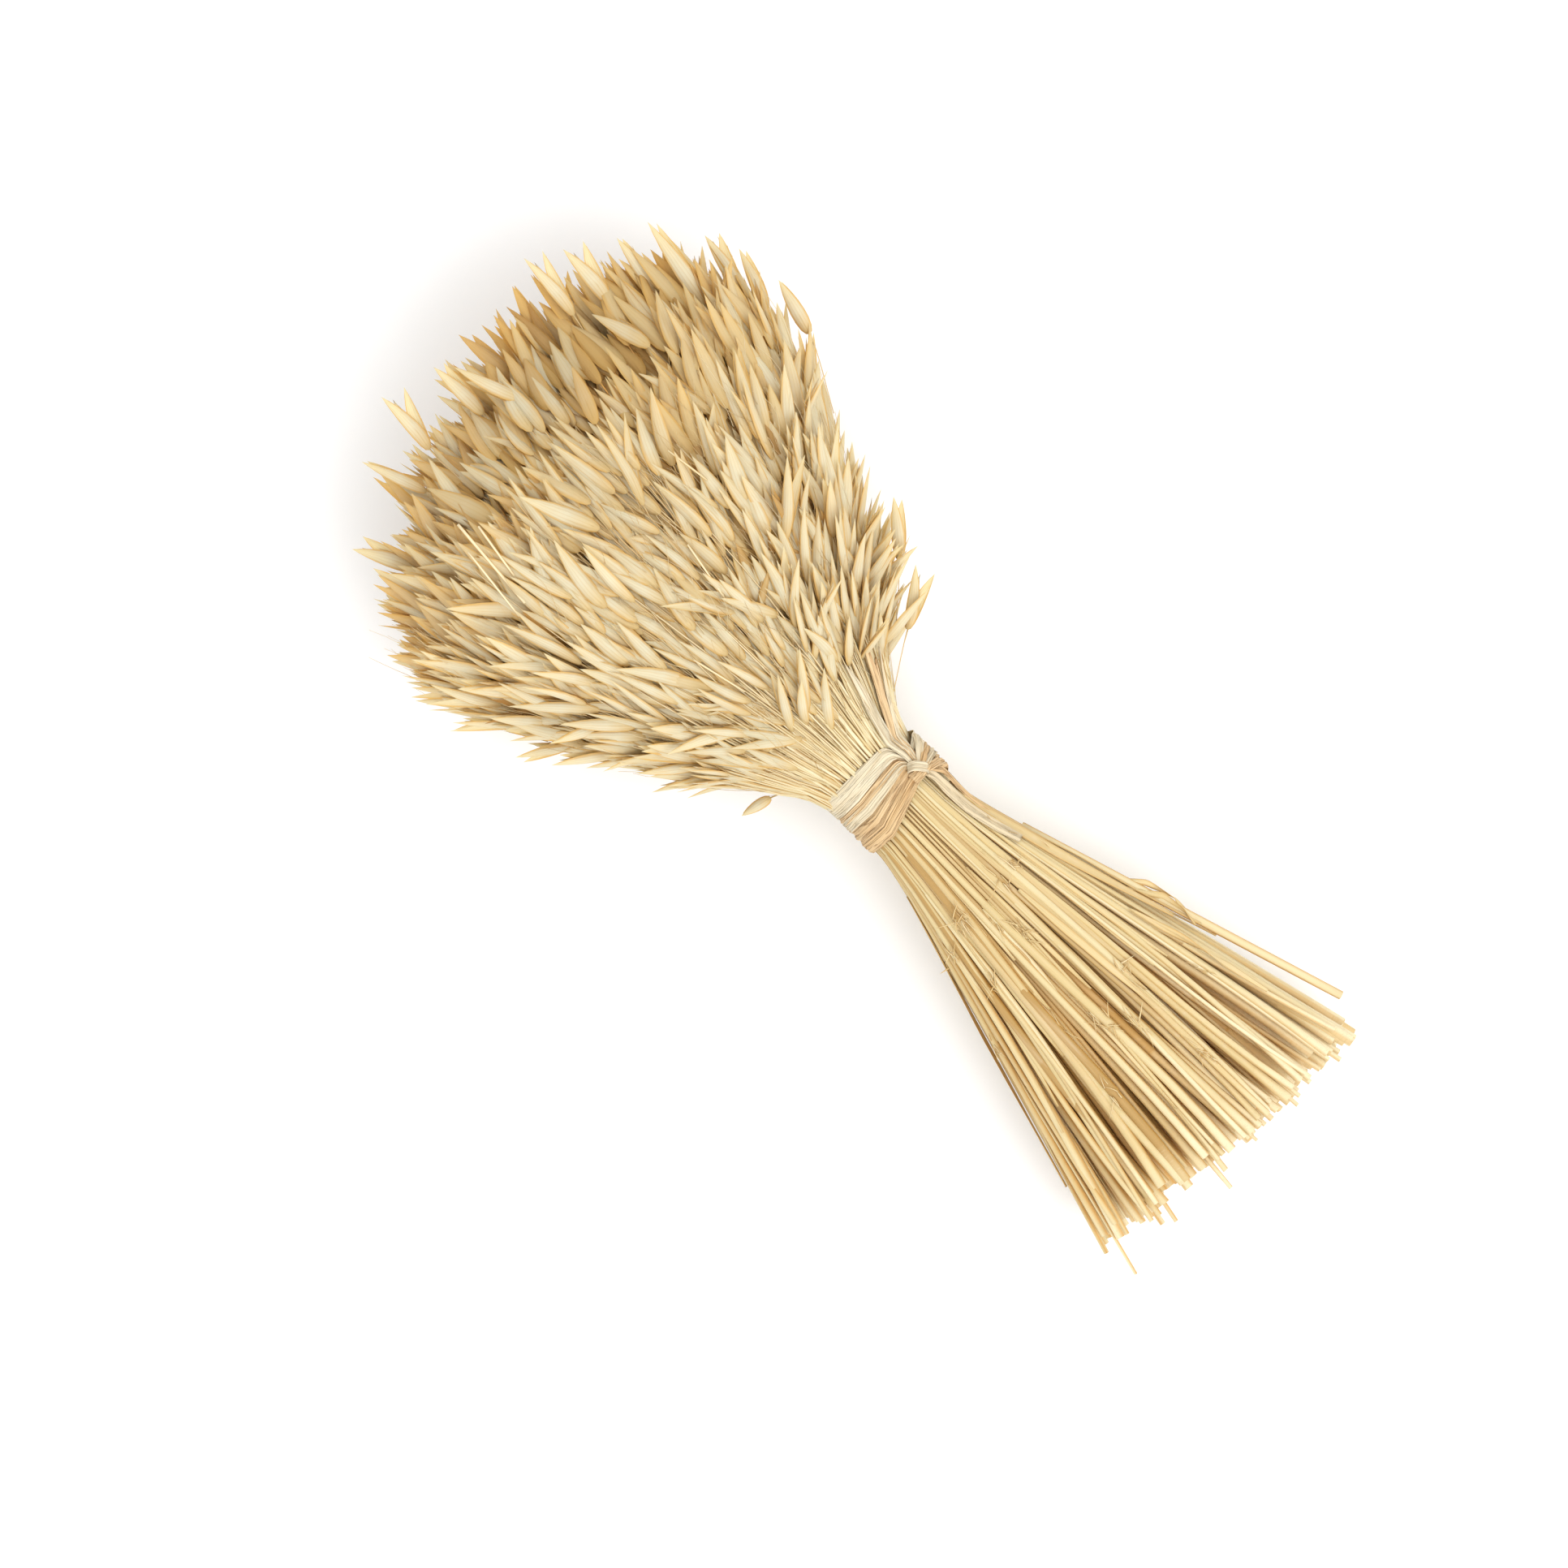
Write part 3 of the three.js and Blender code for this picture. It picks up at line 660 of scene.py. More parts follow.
def grow_spikelets(foot, towards, proud, stem, stem_along, long, half, openness, second, tone, deep, owner):
    """Spikelets with the ways that they point and that their upper husks face, and the stems they hang on."""
    along = unit(towards)
    across = unit(np.cross(proud, along))
    proud = np.cross(along, across)
    u = np.append(np.repeat(HUSK_ROWS, HUSK_COLUMNS), [0, 1])
    v = np.append(np.tile(np.linspace(0, 1, HUSK_COLUMNS), len(HUSK_ROWS)), [0.5, 0.5])
    opening, gape = HUSK_SIDEWAYS * openness[:, 0], HUSK_GAPE * openness[:, 1]
    for side, husk_long in ((1, long), (-1, long * second)):
        husk = grow_husk(foot, along, across, proud, husk_long, half, opening, gape, side)
        keep(husk, len(HUSK_ROWS), HUSK_COLUMNS, False, v, u, tone, deep, owner, 1)
    grow_cores(foot, along, across, proud, long, half, opening, tone, deep, owner)
    t = np.linspace(0, 1, STALK_STATIONS)[None, :, None]
    bend_low = stem + STALK_LEAVES_BY * stem_along
    bend_high = foot - STALK_COMES_BY * along
    stalk = (
        (1 - t) ** 3 * stem[:, None] + 3 * (1 - t) ** 2 * t * bend_low[:, None]
        + 3 * (1 - t) * t ** 2 * bend_high[:, None] + t ** 3 * (foot + STALK_REACHES_IN * along)[:, None]
    )
    radius = np.full(STALK_STATIONS, STALK_RADIUS)
    radius[-1] *= STALK_FLARE
    lengths = np.linspace(0, 2, STALK_STATIONS)
    # Painted shade: each stalk is darker than the spikelet it carries.
    stalk_painted_shade = np.clip(deep + STALK_PAINTED_SHADE, 0, 1)
    keep_tubes(stalk, proud[:, None], radius, STALK_SIDES, lengths, STALK_TONE, stalk_painted_shade, owner)


# The head: spikelets stand all over its flank and its dome in two layers, shingled over each other. They
# lean out more beside the tie, lie calmer on the picture's lower left, and part in one valley.
SKIN_SPIKELETS = 2000
UNDER_SPIKELETS = 1100
GOLDEN_ANGLE = np.pi * (3 - np.sqrt(5))
SPIRAL_STRAY = 0.04
HEAD_FROM = 32.0
WALK_STEPS = 120
SKIN = 0.93
SKIN_FROM = 0.9
SKIN_SHOULDER = 158.0
SKIN_DOME = 48.0
SKIN_SLANT = 8.0
SKIN_SLANT_MORE = 2.4
SLANT_GROWS = (100.0, 160.0)
CROWDED_BY_TIE = ((35, 75), (1.9, 1.0))
DOME_CROWD = 0.62
DOME_BACK = 14.0
DOME_UNDER_BACK = 9.0
FOOT_STRAY = 3.0
AHEAD_SHARE = 0.07
AHEAD_BY = (4.0, 11.0)
AHEAD_FROM = 120.0
FAR_HEAD = (115.0, 145.0)
NEAR_TIE_TO = 112.0
VALLEY_AT = -42.0
VALLEY_HALF = 12.0
VALLEY_DEEP = 0.07
CALM_SIDE = 0.45
CALM_BY_TIE = ((29, 50), (0.3, 1.0))
LEAN_STRAY = 0.11
LEAN_SWELL = 0.04
LEAN_BY_SIDE = 0.1
LOOSE_SHARE = (0.06, 0.2)
LOOSE_LEAN = (0.2, 0.6)
LOOSE_TURN = (0.6, 0.35)
TURN_DRIFT = 0.07
DOME_SPLAY = (0.35, 0.9)
DOME_FLAT = 0.45
ROLL = 0.8
SIDES_FACE_UP = 0.7
FEET_OVER = 24.0
FEET_UP = 0.09
FALLS_MOST = 0.7
DOME_MOST = 0.95
STALK_UNDER = 0.05
STALK_FROM = 8.0
PARTED_SHARE = 0.45
PARTED_WIDE = (1.4, 3.2)
PARTED_A_LITTLE = 1.1
HUSK_GAPES = (0.9, 0.6)
SECOND_HUSK = (0.84, 1.02)
SMALL_BY_TIE = (0.22, 0.3)
DOME_HALF = 1.12
HUSK_TONE = (0.38, 0.18)
PALE_AND_LIT_BY_TIE = ((32, 152), (-0.28, 0.0))
TONE_ON_DOME = 0.06
LIT_AND_SHADED_SIDES = (0.16, 0.2)
VALLEY_SHADE_TONE = 0.25
TONE_MOST = 0.85
SHADE_BY_DEPTH = 4.5
SHADE_IN_SKIN = ((60, 120), (0.23, 0.58))
SHADE_UNDER = ((50, 110), (0.53, 0.88))
LESS_SHADE_FAR = 0.36
VALLEY_PAINTED_SHADE = 0.08
SHADE_BY_SIDE = 0.05
SHADE_MOST = 0.92
TAILS_TO = 42.0
TAILS_LIE = (1.98, 2.8)


def walk_head(count):
    """Places spread evenly over the flank and the dome of the head, from the tie to the far pole."""
    turn = np.linspace(0, np.pi / 2, WALK_STEPS)
    flank_s = np.linspace(HEAD_FROM, SKIN_SHOULDER, WALK_STEPS)
    s = np.append(flank_s, SKIN_SHOULDER + SKIN_DOME * np.sin(turn))
    rho = np.append(np.full(WALK_STEPS, SKIN), SKIN * np.cos(turn))
    dome = np.arange(2 * WALK_STEPS) >= WALK_STEPS
    wide, up, down = section(s)
    crowd = np.where(dome, DOME_CROWD, np.interp(s, *CROWDED_BY_TIE))
    girth = rho * (wide + (up + down) / 2) * crowd
    step = np.hypot(np.diff(s, prepend=s[0]), np.diff(rho * wide, prepend=rho[0] * wide[0]))
    area = np.cumsum(girth * step)
    wanted = (np.arange(count) + 0.5) / count * area[-1]
    found = np.searchsorted(area, wanted)
    return np.interp(wanted, area, s), np.interp(wanted, area, rho), dome[found]


def cover_head(count, rho_low, rho_high, lean_far, lean_near, turning, spiral_from):
    """One layer of spikelets, between two shares of the head's radius, from the tie to the far end."""
    s, rho, dome = walk_head(count)
    skin = rho_high > SKIN_FROM
    spiral = (np.arange(count) + spiral_from) * GOLDEN_ANGLE
    phi = (spiral + stray(SPIRAL_STRAY, count)) % (2 * np.pi)
    cosine, sine = np.cos(phi), np.sin(phi)
    s = s + stray(FOOT_STRAY, count)
    depth = scatter(rho_low, rho_high, count)
    rho = np.where(dome, rho * depth / rho_high, depth)
    s = np.where(dome, s - scatter(0, DOME_BACK, count), s)
    slant = SKIN_SLANT * np.where(cosine > 0, SKIN_SLANT_MORE, 1)
    s = s - slant * cosine * reached(s, *SLANT_GROWS) * rho
    s = s + (chance.random(count) < AHEAD_SHARE) * scatter(*AHEAD_BY, count) * (s > AHEAD_FROM)
    s = s - DOME_UNDER_BACK * dome * np.clip(0.5 - 1.5 * sine, 0, 1)
    far = reached(s, *FAR_HEAD)
    near_tie = 1 - reached(s, HEAD_FROM, NEAR_TIE_TO)
    valley = far * np.exp(-((axis_y + VALLEY_AT - place(s, phi, rho)[:, 1]) / VALLEY_HALF) ** 2)
    rho = rho - VALLEY_DEEP * valley

    drift = np.sin(s / 17 + 3 * phi + 5 * rho) + np.sin(s / 29 - 5 * phi + 2)
    swell = np.sin(s / 23 - 4 * phi) + np.sin(s / 13 + 7 * phi + 1)
    sideways = np.abs(cosine)
    calm = np.where(cosine > 0, CALM_SIDE, 1) * np.interp(s, *CALM_BY_TIE)
    lean = (lean_far + (lean_near * calm - lean_far) * near_tie) * (1.3 * sideways - 0.3)
    lean = lean + chance.normal(0, LEAN_STRAY, count) + LEAN_SWELL * swell
    loose = (chance.random(count) < LOOSE_SHARE[0] + LOOSE_SHARE[1] * near_tie * calm) & skin
    lean = lean + np.where(loose, scatter(0, LOOSE_LEAN[0] + LOOSE_LEAN[1] * sideways * calm, count), 0)
    lean = lean - LEAN_BY_SIDE * cosine * near_tie
    turn = chance.normal(0, turning, count) + TURN_DRIFT * drift
    turn = turn + np.where(loose, chance.normal(0, LOOSE_TURN[0] - LOOSE_TURN[1] * sideways, count), 0)
    along, around, out = directions(s, phi, rho)
    splay = np.where(dome, DOME_SPLAY[0] + DOME_SPLAY[1] * rho, 1)
    towards = np.cos(lean)[:, None] * along + (splay * np.sin(lean))[:, None] * out + turn[:, None] * around
    proud = out + stray(ROLL, count)[:, None] * around
    proud[:, 2] += SIDES_FACE_UP * sideways * (sine > -0.3)
    towards[:, 2] *= np.where(dome, DOME_FLAT, 1)
    dome_end = SKIN_SHOULDER + SKIN_DOME
    here, ahead = (np.minimum(reached(s + by, SKIN_SHOULDER, dome_end), DOME_MOST) for by in (0, FEET_OVER))
    falls = HEAD_UP / FEET_OVER * (np.sqrt(1 - here ** 2) - np.sqrt(1 - ahead ** 2))
    towards[:, 2] -= (np.minimum(falls, FALLS_MOST) + FEET_UP) * np.clip(1.4 * sine - 0.2, 0, 1)

    stem_rho = np.maximum(rho - STALK_UNDER, 0.02)
    stem_s = np.maximum(s - scatter(*STALK_BACK, count), STALK_FROM)
    stem_along, _, _ = directions(stem_s, phi, stem_rho)
    wide_open = chance.random(count) < PARTED_SHARE
    parted = np.where(wide_open, scatter(*PARTED_WIDE, count), scatter(0, PARTED_A_LITTLE, count))
    opening = parted * np.sign(chance.random(count) - 0.5)
    openness = np.stack([opening, np.abs(chance.normal(*HUSK_GAPES, count))], axis=1)
    second = scatter(*SECOND_HUSK, count)
    long = scatter(*SPIKELET_LONG, count) * (1 - SMALL_BY_TIE[0] * near_tie * chance.random(count))
    half = scatter(*HUSK_HALF, count) * (1 - SMALL_BY_TIE[1] * near_tie) * np.where(dome, DOME_HALF, 1)
    # The husks by the tie are paler, partly their own cream colour and partly painted light.
    tone = chance.normal(*HUSK_TONE, count) + TONE_ON_DOME * dome + np.interp(s, *PALE_AND_LIT_BY_TIE)
    # Painted light and shade on the far dome: paler on one side of it, darker on the other.
    tone = tone + (LIT_AND_SHADED_SIDES[0] * (cosine < -0.3) - LIT_AND_SHADED_SIDES[1] * cosine) * far
    # Painted shade in the valley.
    tone = tone + VALLEY_SHADE_TONE * valley
    # Painted shade: spikelets that lie deeper in their layer are coloured darker, and the whole under layer
    # more so; there is less of it by the tie, and less on the under layer's far dome.
    deep = np.clip(SHADE_BY_DEPTH * (rho_high - depth), 0, 1) * np.interp(s, *SHADE_IN_SKIN)
    if not skin:
        deep = deep + np.interp(s, *SHADE_UNDER) - LESS_SHADE_FAR * far
    # More painted shade in the valley and on the far dome's darker side.
    deep = deep + VALLEY_PAINTED_SHADE * valley + SHADE_BY_SIDE * far * (cosine < 0)
    grown_here = (
        place(s, phi, rho), towards, proud, place(stem_s, phi, stem_rho), stem_along, long, half, openness,
        second, np.clip(tone, 0, TONE_MOST), np.clip(deep, 0, SHADE_MOST), strand_of(phi, rho),
    )
    kept = ~((s < TAILS_TO) & (phi > TAILS_LIE[0]) & (phi < TAILS_LIE[1]))
    grow_spikelets(*(values[kept] for values in grown_here))


cover_head(
    SKIN_SPIKELETS, rho_low=0.86, rho_high=0.975, lean_far=0.16, lean_near=0.45, turning=0.17, spiral_from=0,
)
cover_head(
    UNDER_SPIKELETS, rho_low=0.76, rho_high=0.86, lean_far=0.2, lean_near=0.3, turning=0.2, spiral_from=0.5,
)

# A few spikelets stand apart from the rest, out of the head's outline or drooping beside the tie. Each row
# gives where its foot, its tip and the start of its stalk are, as lengths from the tie, out and up, and
# then its half width and how far its husks part sideways.
APART = (
    ((145.8, -103.0, 62), (169.0, -109.4, 66), (118, -88, 58), 2.9, 0.3),
    ((38.9, -49.2, 52), (50.9, -71.5, 56), (24, -26, 50), 2.6, 3.0),
    ((30.3, 33.7, 46), (33.7, 46.7, 42), (20, 22, 50), 2.2, 0.5),
    ((178.0, -81.0, 84), (218.6, -89.5, 88), (152, -73, 76), 3.3, 0.6),
    ((206.0, 44.0, 76), (232.0, 53.0, 78), (178, 38, 76), 2.3, 0.4),
    ((216.0, 32.0, 86), (242.0, 26.0, 92), (190, 30, 84), 2.8, 3.2),
    ((207.0, -56.0, 86), (233.0, -62.0, 92), (180, -50, 80), 3.1, 2.8),
    ((188.0, 68.0, 68), (212.5, 77.0, 70), (160, 60, 70), 3.1, 2.2),
    ((213.0, -43.0, 90), (241.0, -48.6, 96), (188, -38, 86), 2.6, 2.4),
    ((198.0, -72.0, 82), (222.8, -76.5, 86), (170, -62, 78), 2.6, 0.6),
    ((211.0, 8.0, 86), (237.0, 6.6, 92), (184, 10, 84), 2.9, 1.4),
    ((168.0, 78.0, 62), (191.0, 86.0, 62), (142, 68, 64), 2.8, 1.8),
    ((150.0, 86.0, 56), (172.0, 98.0, 54), (126, 74, 58), 2.5, 1.6),
    ((60.0, -66.0, 54), (78.0, -83.0, 60), (42, -46, 54), 2.7, 1.2),
    ((176.0, -95.0, 68), (200.0, -103.5, 70), (150, -84, 68), 2.8, 2.0),
    ((164.0, -98.0, 62), (188.0, -108.0, 62), (138, -84, 62), 2.6, 0.8),
)
APART_GAPE = 0.6
APART_SECOND = 0.94
APART_TONE = 0.35
APART_RHO = 0.9

apart_foot, apart_tip, apart_stem = (
    np.array([row[k] for row in APART], float) + (tie_x, axis_y, 0) for k in range(3)
)
apart_half = np.array([row[3] for row in APART])
apart_openness = np.array([(row[4], APART_GAPE) for row in APART])
apart_phi = np.where(apart_foot[:, 1] > axis_y, 0.1, np.pi - 0.1)
every = np.ones(len(APART))
grow_spikelets(
    apart_foot, apart_tip - apart_foot, np.tile([0.0, 0.0, 1.0], (len(APART), 1)), apart_stem,
    unit(apart_foot - apart_stem), np.linalg.norm(apart_tip - apart_foot, axis=1), apart_half, apart_openness,
    APART_SECOND * every, APART_TONE * every, 0 * every, strand_of(apart_phi, APART_RHO * every),
)

# On the head lie a few stubs of thin pale straw. Each row gives the s and phi of its far end and of its
# near one, its radius and its tone.
STUBS = (
    ((186, 1.0), (148, 0.93), 0.62, 0.05), ((180, 1.06), (158, 1.0), 0.5, 0.1),
    ((176, 0.94), (146, 0.86), 0.45, 0.0), ((120, 1.75), (96, 1.7), 0.42, 0.1),
    ((88, 1.25), (66, 1.3), 0.4, 0.15), ((150, 2.0), (132, 2.06), 0.4, 0.3),
)
STUB_AT = 1.01
STUB_LIFT = 2.5
STUB_BEND = 1.5
for far_end, near_end, radius, tone in STUBS:
    far, near = (place(np.array([s]), phi, STUB_AT) for s, phi in (far_end, near_end))
    owner = strand_of(np.array(near_end[1:]), np.array([0.95]))
    lay_stick(near, far + (0, 0, STUB_LIFT), radius, STUB_BEND, tone, owner)

# Hair-fine bent fibres stand out of the head all over.
HAIRS = 900
HAIR_FROM = (18.0, 150.0)
HAIR_LAYER = (0.95, 1.02)
HAIR_LONG = (12.0, 38.0)
HAIR_RADIUS = 0.13
HAIR_STATIONS = 7
HAIR_SIDES = 3
HAIR_TONE = (0.0, 0.9)

hair_s = scatter(*HAIR_FROM, HAIRS)
hair_phi = scatter(0, 2 * np.pi, HAIRS)
hair_rho = scatter(*HAIR_LAYER, HAIRS)
hair_along, hair_around, hair_out = directions(hair_s, hair_phi, hair_rho)
t = np.linspace(0, 1, HAIR_STATIONS)[None, :, None]
long = scatter(*HAIR_LONG, HAIRS)[:, None, None]
lean, swing, curl = (stray(1, HAIRS)[:, None, None] for _ in range(3))
path = place(hair_s, hair_phi, hair_rho)[:, None] + long * (
    t * hair_along[:, None] + (0.3 * swing * t + 0.22 * curl * np.sin(3 * t)) * hair_around[:, None]
    + (0.12 * lean * t + 0.05 * np.sin(5 * t * curl)) * hair_out[:, None]
)
keep_tubes(
    path, hair_out[:, None], HAIR_RADIUS * (1.1 - 0.6 * t[..., 0]), HAIR_SIDES, t[0, :, 0],
    scatter(*HAIR_TONE, HAIRS), 0.0, strand_of(hair_phi, np.full(HAIRS, 0.95)),
)


# Shader maths for the finishes. A Shade is a value in a material's nodes, and an expression on such
# values adds the nodes that work it out.
class Shade:
    def __init__(self, tree, socket=None):
        self.tree = tree
        self.socket = socket

    def node(self, kind, settings, inputs, output=0):
        made = self.tree.nodes.new(kind)
        for name, value in settings.items():
            if name == "stops":
                self.set_stops(made.color_ramp, value)
            else:
                setattr(made, name, value)
        for name, value in inputs.items():
            if isinstance(value, Shade):
                self.tree.links.new(value.socket, made.inputs[name])
            else:
                made.inputs[name].default_value = value
        return Shade(self.tree, made.outputs[output])

    @staticmethod
    def set_stops(ramp, stops):
        while len(ramp.elements) < len(stops):
            ramp.elements.new(0.5)
        for element, (position, colour) in zip(ramp.elements, stops):
            element.position = position
            element.color = (*colour, 1)

    def maths(self, operation, left, right):
        return self.node("ShaderNodeMath", {"operation": operation}, {0: left, 1: right})

    def alone(self, operation):
        return self.node("ShaderNodeMath", {"operation": operation}, {0: self})

    def __add__(self, other):
        return self.maths("ADD", self, other)

    __radd__ = __add__

    def __mul__(self, other):
        return self.maths("MULTIPLY", self, other)

    __rmul__ = __mul__

    def __sub__(self, other):
        return self.maths("SUBTRACT", self, other)

    def __rsub__(self, other):
        return self.maths("SUBTRACT", other, self)

    def step(self, low, high):
        """From 0 to 1 as this value goes from low to high."""
        return self.node("ShaderNodeMapRange", {"interpolation_type": "SMOOTHSTEP"}, {
            "Value": self, "From Min": low, "From Max": high, "To Min": 0.0, "To Max": 1.0,
        })

    def blend(self, colour, other, how="MIX"):
        """The first colour, mixed with the other by this value."""
        as_input = [c if isinstance(c, Shade) else (*c, 1) for c in (colour, other)]
        settings = {"data_type": "RGBA", "blend_type": how, "clamp_factor": True}
        return self.node("ShaderNodeMix", settings, {0: self, 6: as_input[0], 7: as_input[1]}, 2)

    def ramp(self, stops):
        return self.node("ShaderNodeValToRGB", {"stops": stops}, {"Fac": self})


def start_finish(name):
    """A new material with the values that every finish starts from."""
    finish = bpy.data.materials.new(name)
    finish.use_nodes = True
    values = Shade(finish.node_tree)
    grain = values.node("ShaderNodeUVMap", {"uv_map": "grain"}, {})
    across, along = (values.node("ShaderNodeSeparateXYZ", {}, {0: grain}, k) for k in range(2))
    tone, deep = (
        values.node("ShaderNodeAttribute", {"attribute_name": label}, {}, "Fac") for label in ("tone", "deep")
    )
    return finish, values, across, along, tone, deep


def fibres(values, across, along, tone, fine, stretch, detail=3.0):
    """Noise drawn out along the grain, different on each piece."""
    point = values.node("ShaderNodeCombineXYZ", {}, {0: across * fine, 1: along * stretch, 2: tone * 91.0})
    inputs = {"Vector": point, "Scale": 1.0, "Detail": detail, "Roughness": 0.6}
    return values.node("ShaderNodeTexNoise", {}, inputs, 0)


# Light that comes through dry plant skin is warmer than what comes off it.
LIGHT_THROUGH = (1.0, 0.79, 0.42)


def end_finish(finish, colour, roughness, height, bump_mm, specular=0.35, through=0.0):
    tree = finish.node_tree
    values = Shade(tree)
    bump = values.node("ShaderNodeBump", {}, {"Height": height, "Distance": bump_mm * MM, "Strength": 1.0})
    shader = tree.nodes["Principled BSDF"]
    tree.links.new(colour.socket, shader.inputs["Base Color"])
    tree.links.new(roughness.socket, shader.inputs["Roughness"])
    tree.links.new(bump.socket, shader.inputs["Normal"])
    shader.inputs["Specular IOR Level"].default_value = specular
    if through:
        warm = values.node("ShaderNodeMix", {"data_type": "RGBA", "blend_type": "MULTIPLY"}, {
            0: 1.0, 6: colour, 7: (*LIGHT_THROUGH, 1),
        }, 2)
        glow = values.node("ShaderNodeBsdfTranslucent", {}, {"Color": warm})
        solid = Shade(tree, shader.outputs["BSDF"])
        both = values.node("ShaderNodeMixShader", {}, {0: through, 1: solid, 2: glow})
        tree.links.new(both.socket, tree.nodes["Material Output"].inputs["Surface"])
    return finish


# The straw's finish: pale yellow to golden with fine lengthwise fibres, a little shiny on its skin, and with
# painted shade: golden to brown down each straw's sides and on what lies deep in the bundle.
STRAW_TONES = (
    (0.0, (0.93, 0.85, 0.58)), (0.3, (0.83, 0.72, 0.43)), (0.55, (0.77, 0.62, 0.315)),
    (0.75, (0.73, 0.56, 0.285)), (1.0, (0.54, 0.34, 0.12)),
)
STRAW_GOLD = (0.66, 0.45, 0.16)
STRAW_SHADE = (0.72, 0.36, 0.06)
STRAW_PEACH = (0.8, 0.66, 0.44)


def finish_straw():
    finish, values, across, along, tone, deep = start_finish("straw")
    fine = fibres(values, across, along, tone, 16.0, 0.5)
    broad = fibres(values, across, along, tone, 2.0, 0.22, 2.0)
    colour = tone.ramp(STRAW_TONES)
    colour = (broad.step(0.5, 0.75) * 0.4).blend(colour, STRAW_PEACH)
    colour = (fine.step(0.5, 0.8) * 0.5).blend(colour, STRAW_GOLD)
    # Painted shade: each straw turns golden and then brown towards its sides.
    off_middle = (across - 0.5).alone("ABSOLUTE") * 2
    colour = (off_middle.step(0.3, 0.75) * 0.5).blend(colour, STRAW_GOLD)
    colour = (off_middle.step(0.6, 1.0) * 0.6).blend(colour, STRAW_SHADE)
    # Painted shade on what lies deep in the bundle.
    colour = (deep * 0.85).blend(colour, STRAW_SHADE)
    return end_finish(finish, colour, 0.45 + fine * 0.25, fine, 0.02, 0.35, 0.25)


# The husk's finish: papery, cream where it is broad and golden at its foot, with fine veins, and with painted
# shade: golden brown down its flanks and darker on the spikelets that lie deep in the head.
HUSK_CREAM = (0.84, 0.81, 0.605)
HUSK_TIP = (0.81, 0.74, 0.49)
HUSK_FOOT = (0.82, 0.68, 0.37)
HUSK_GOLD = (0.72, 0.545, 0.24)
HUSK_SIDE_SHADE = (0.74, 0.475, 0.13)
HUSK_SHADE = (0.42, 0.215, 0.05)
VEINS = 6.0


def finish_husk():
    finish, values, across, along, tone, deep = start_finish("husk")
    fine = fibres(values, across, along, tone, 12.0, 1.4)
    broad = fibres(values, across, along, tone, 2.5, 1.1, 2.0)
    colour = along.ramp([(0, HUSK_GOLD), (0.12, HUSK_FOOT), (0.42, HUSK_CREAM), (1, HUSK_TIP)])
    colour = (tone.step(0.3, 1.0) * 0.85).blend(colour, HUSK_GOLD)
    colour = (broad.step(0.48, 0.78) * 0.45).blend(colour, HUSK_GOLD)
    vein = (across * (VEINS * 2 * math.pi)).alone("COSINE")
    colour = (vein.step(0.35, 1.0) * 0.3).blend(colour, HUSK_GOLD)
    colour = (fine.step(0.52, 0.8) * 0.35).blend(colour, HUSK_GOLD)
    # Painted shade: each husk turns golden brown towards its edges, down its flanks.
    off_middle = (across - 0.5).alone("ABSOLUTE") * 2
    colour = (off_middle.step(0.5, 1.0) * 0.85).blend(colour, HUSK_SIDE_SHADE)
    # Painted shade on the spikelets that lie deep in the head.
    colour = (deep.step(0.0, 0.7) * 0.65).blend(colour, HUSK_SIDE_SHADE)
    colour = (deep.step(0.6, 1.0) * 0.9).blend(colour, HUSK_SHADE)
    return end_finish(finish, colour, 0.5 + fine * 0.25, fine + vein * 0.2, 0.1, 0.3, 0.38)


# Each strand is put together from its straws, branches and spikelets, and takes its node's place.
def joined(parts, key):
    return np.concatenate([part[key].ravel() for part in parts])


def faces_of(rows, columns, closed):
    """The four-sided faces of one grid, and the three-sided ones round its two poles."""
    wrap = columns if closed else columns - 1
    row, column = np.divmod(np.arange((rows - 1) * wrap), wrap)
    here = row * columns + column
    beside = row * columns + (column + 1) % columns
    quads = np.stack([here, beside, beside + columns, here + columns], axis=1)
    edge = np.arange(wrap)
    foot, tip = rows * columns, rows * columns + 1
    last = (rows - 1) * columns
    low = np.stack([np.full(wrap, foot), (edge + 1) % columns, edge], axis=1)
    high = np.stack([np.full(wrap, tip), last + edge, last + (edge + 1) % columns], axis=1)
    return quads, np.concatenate([low, high])


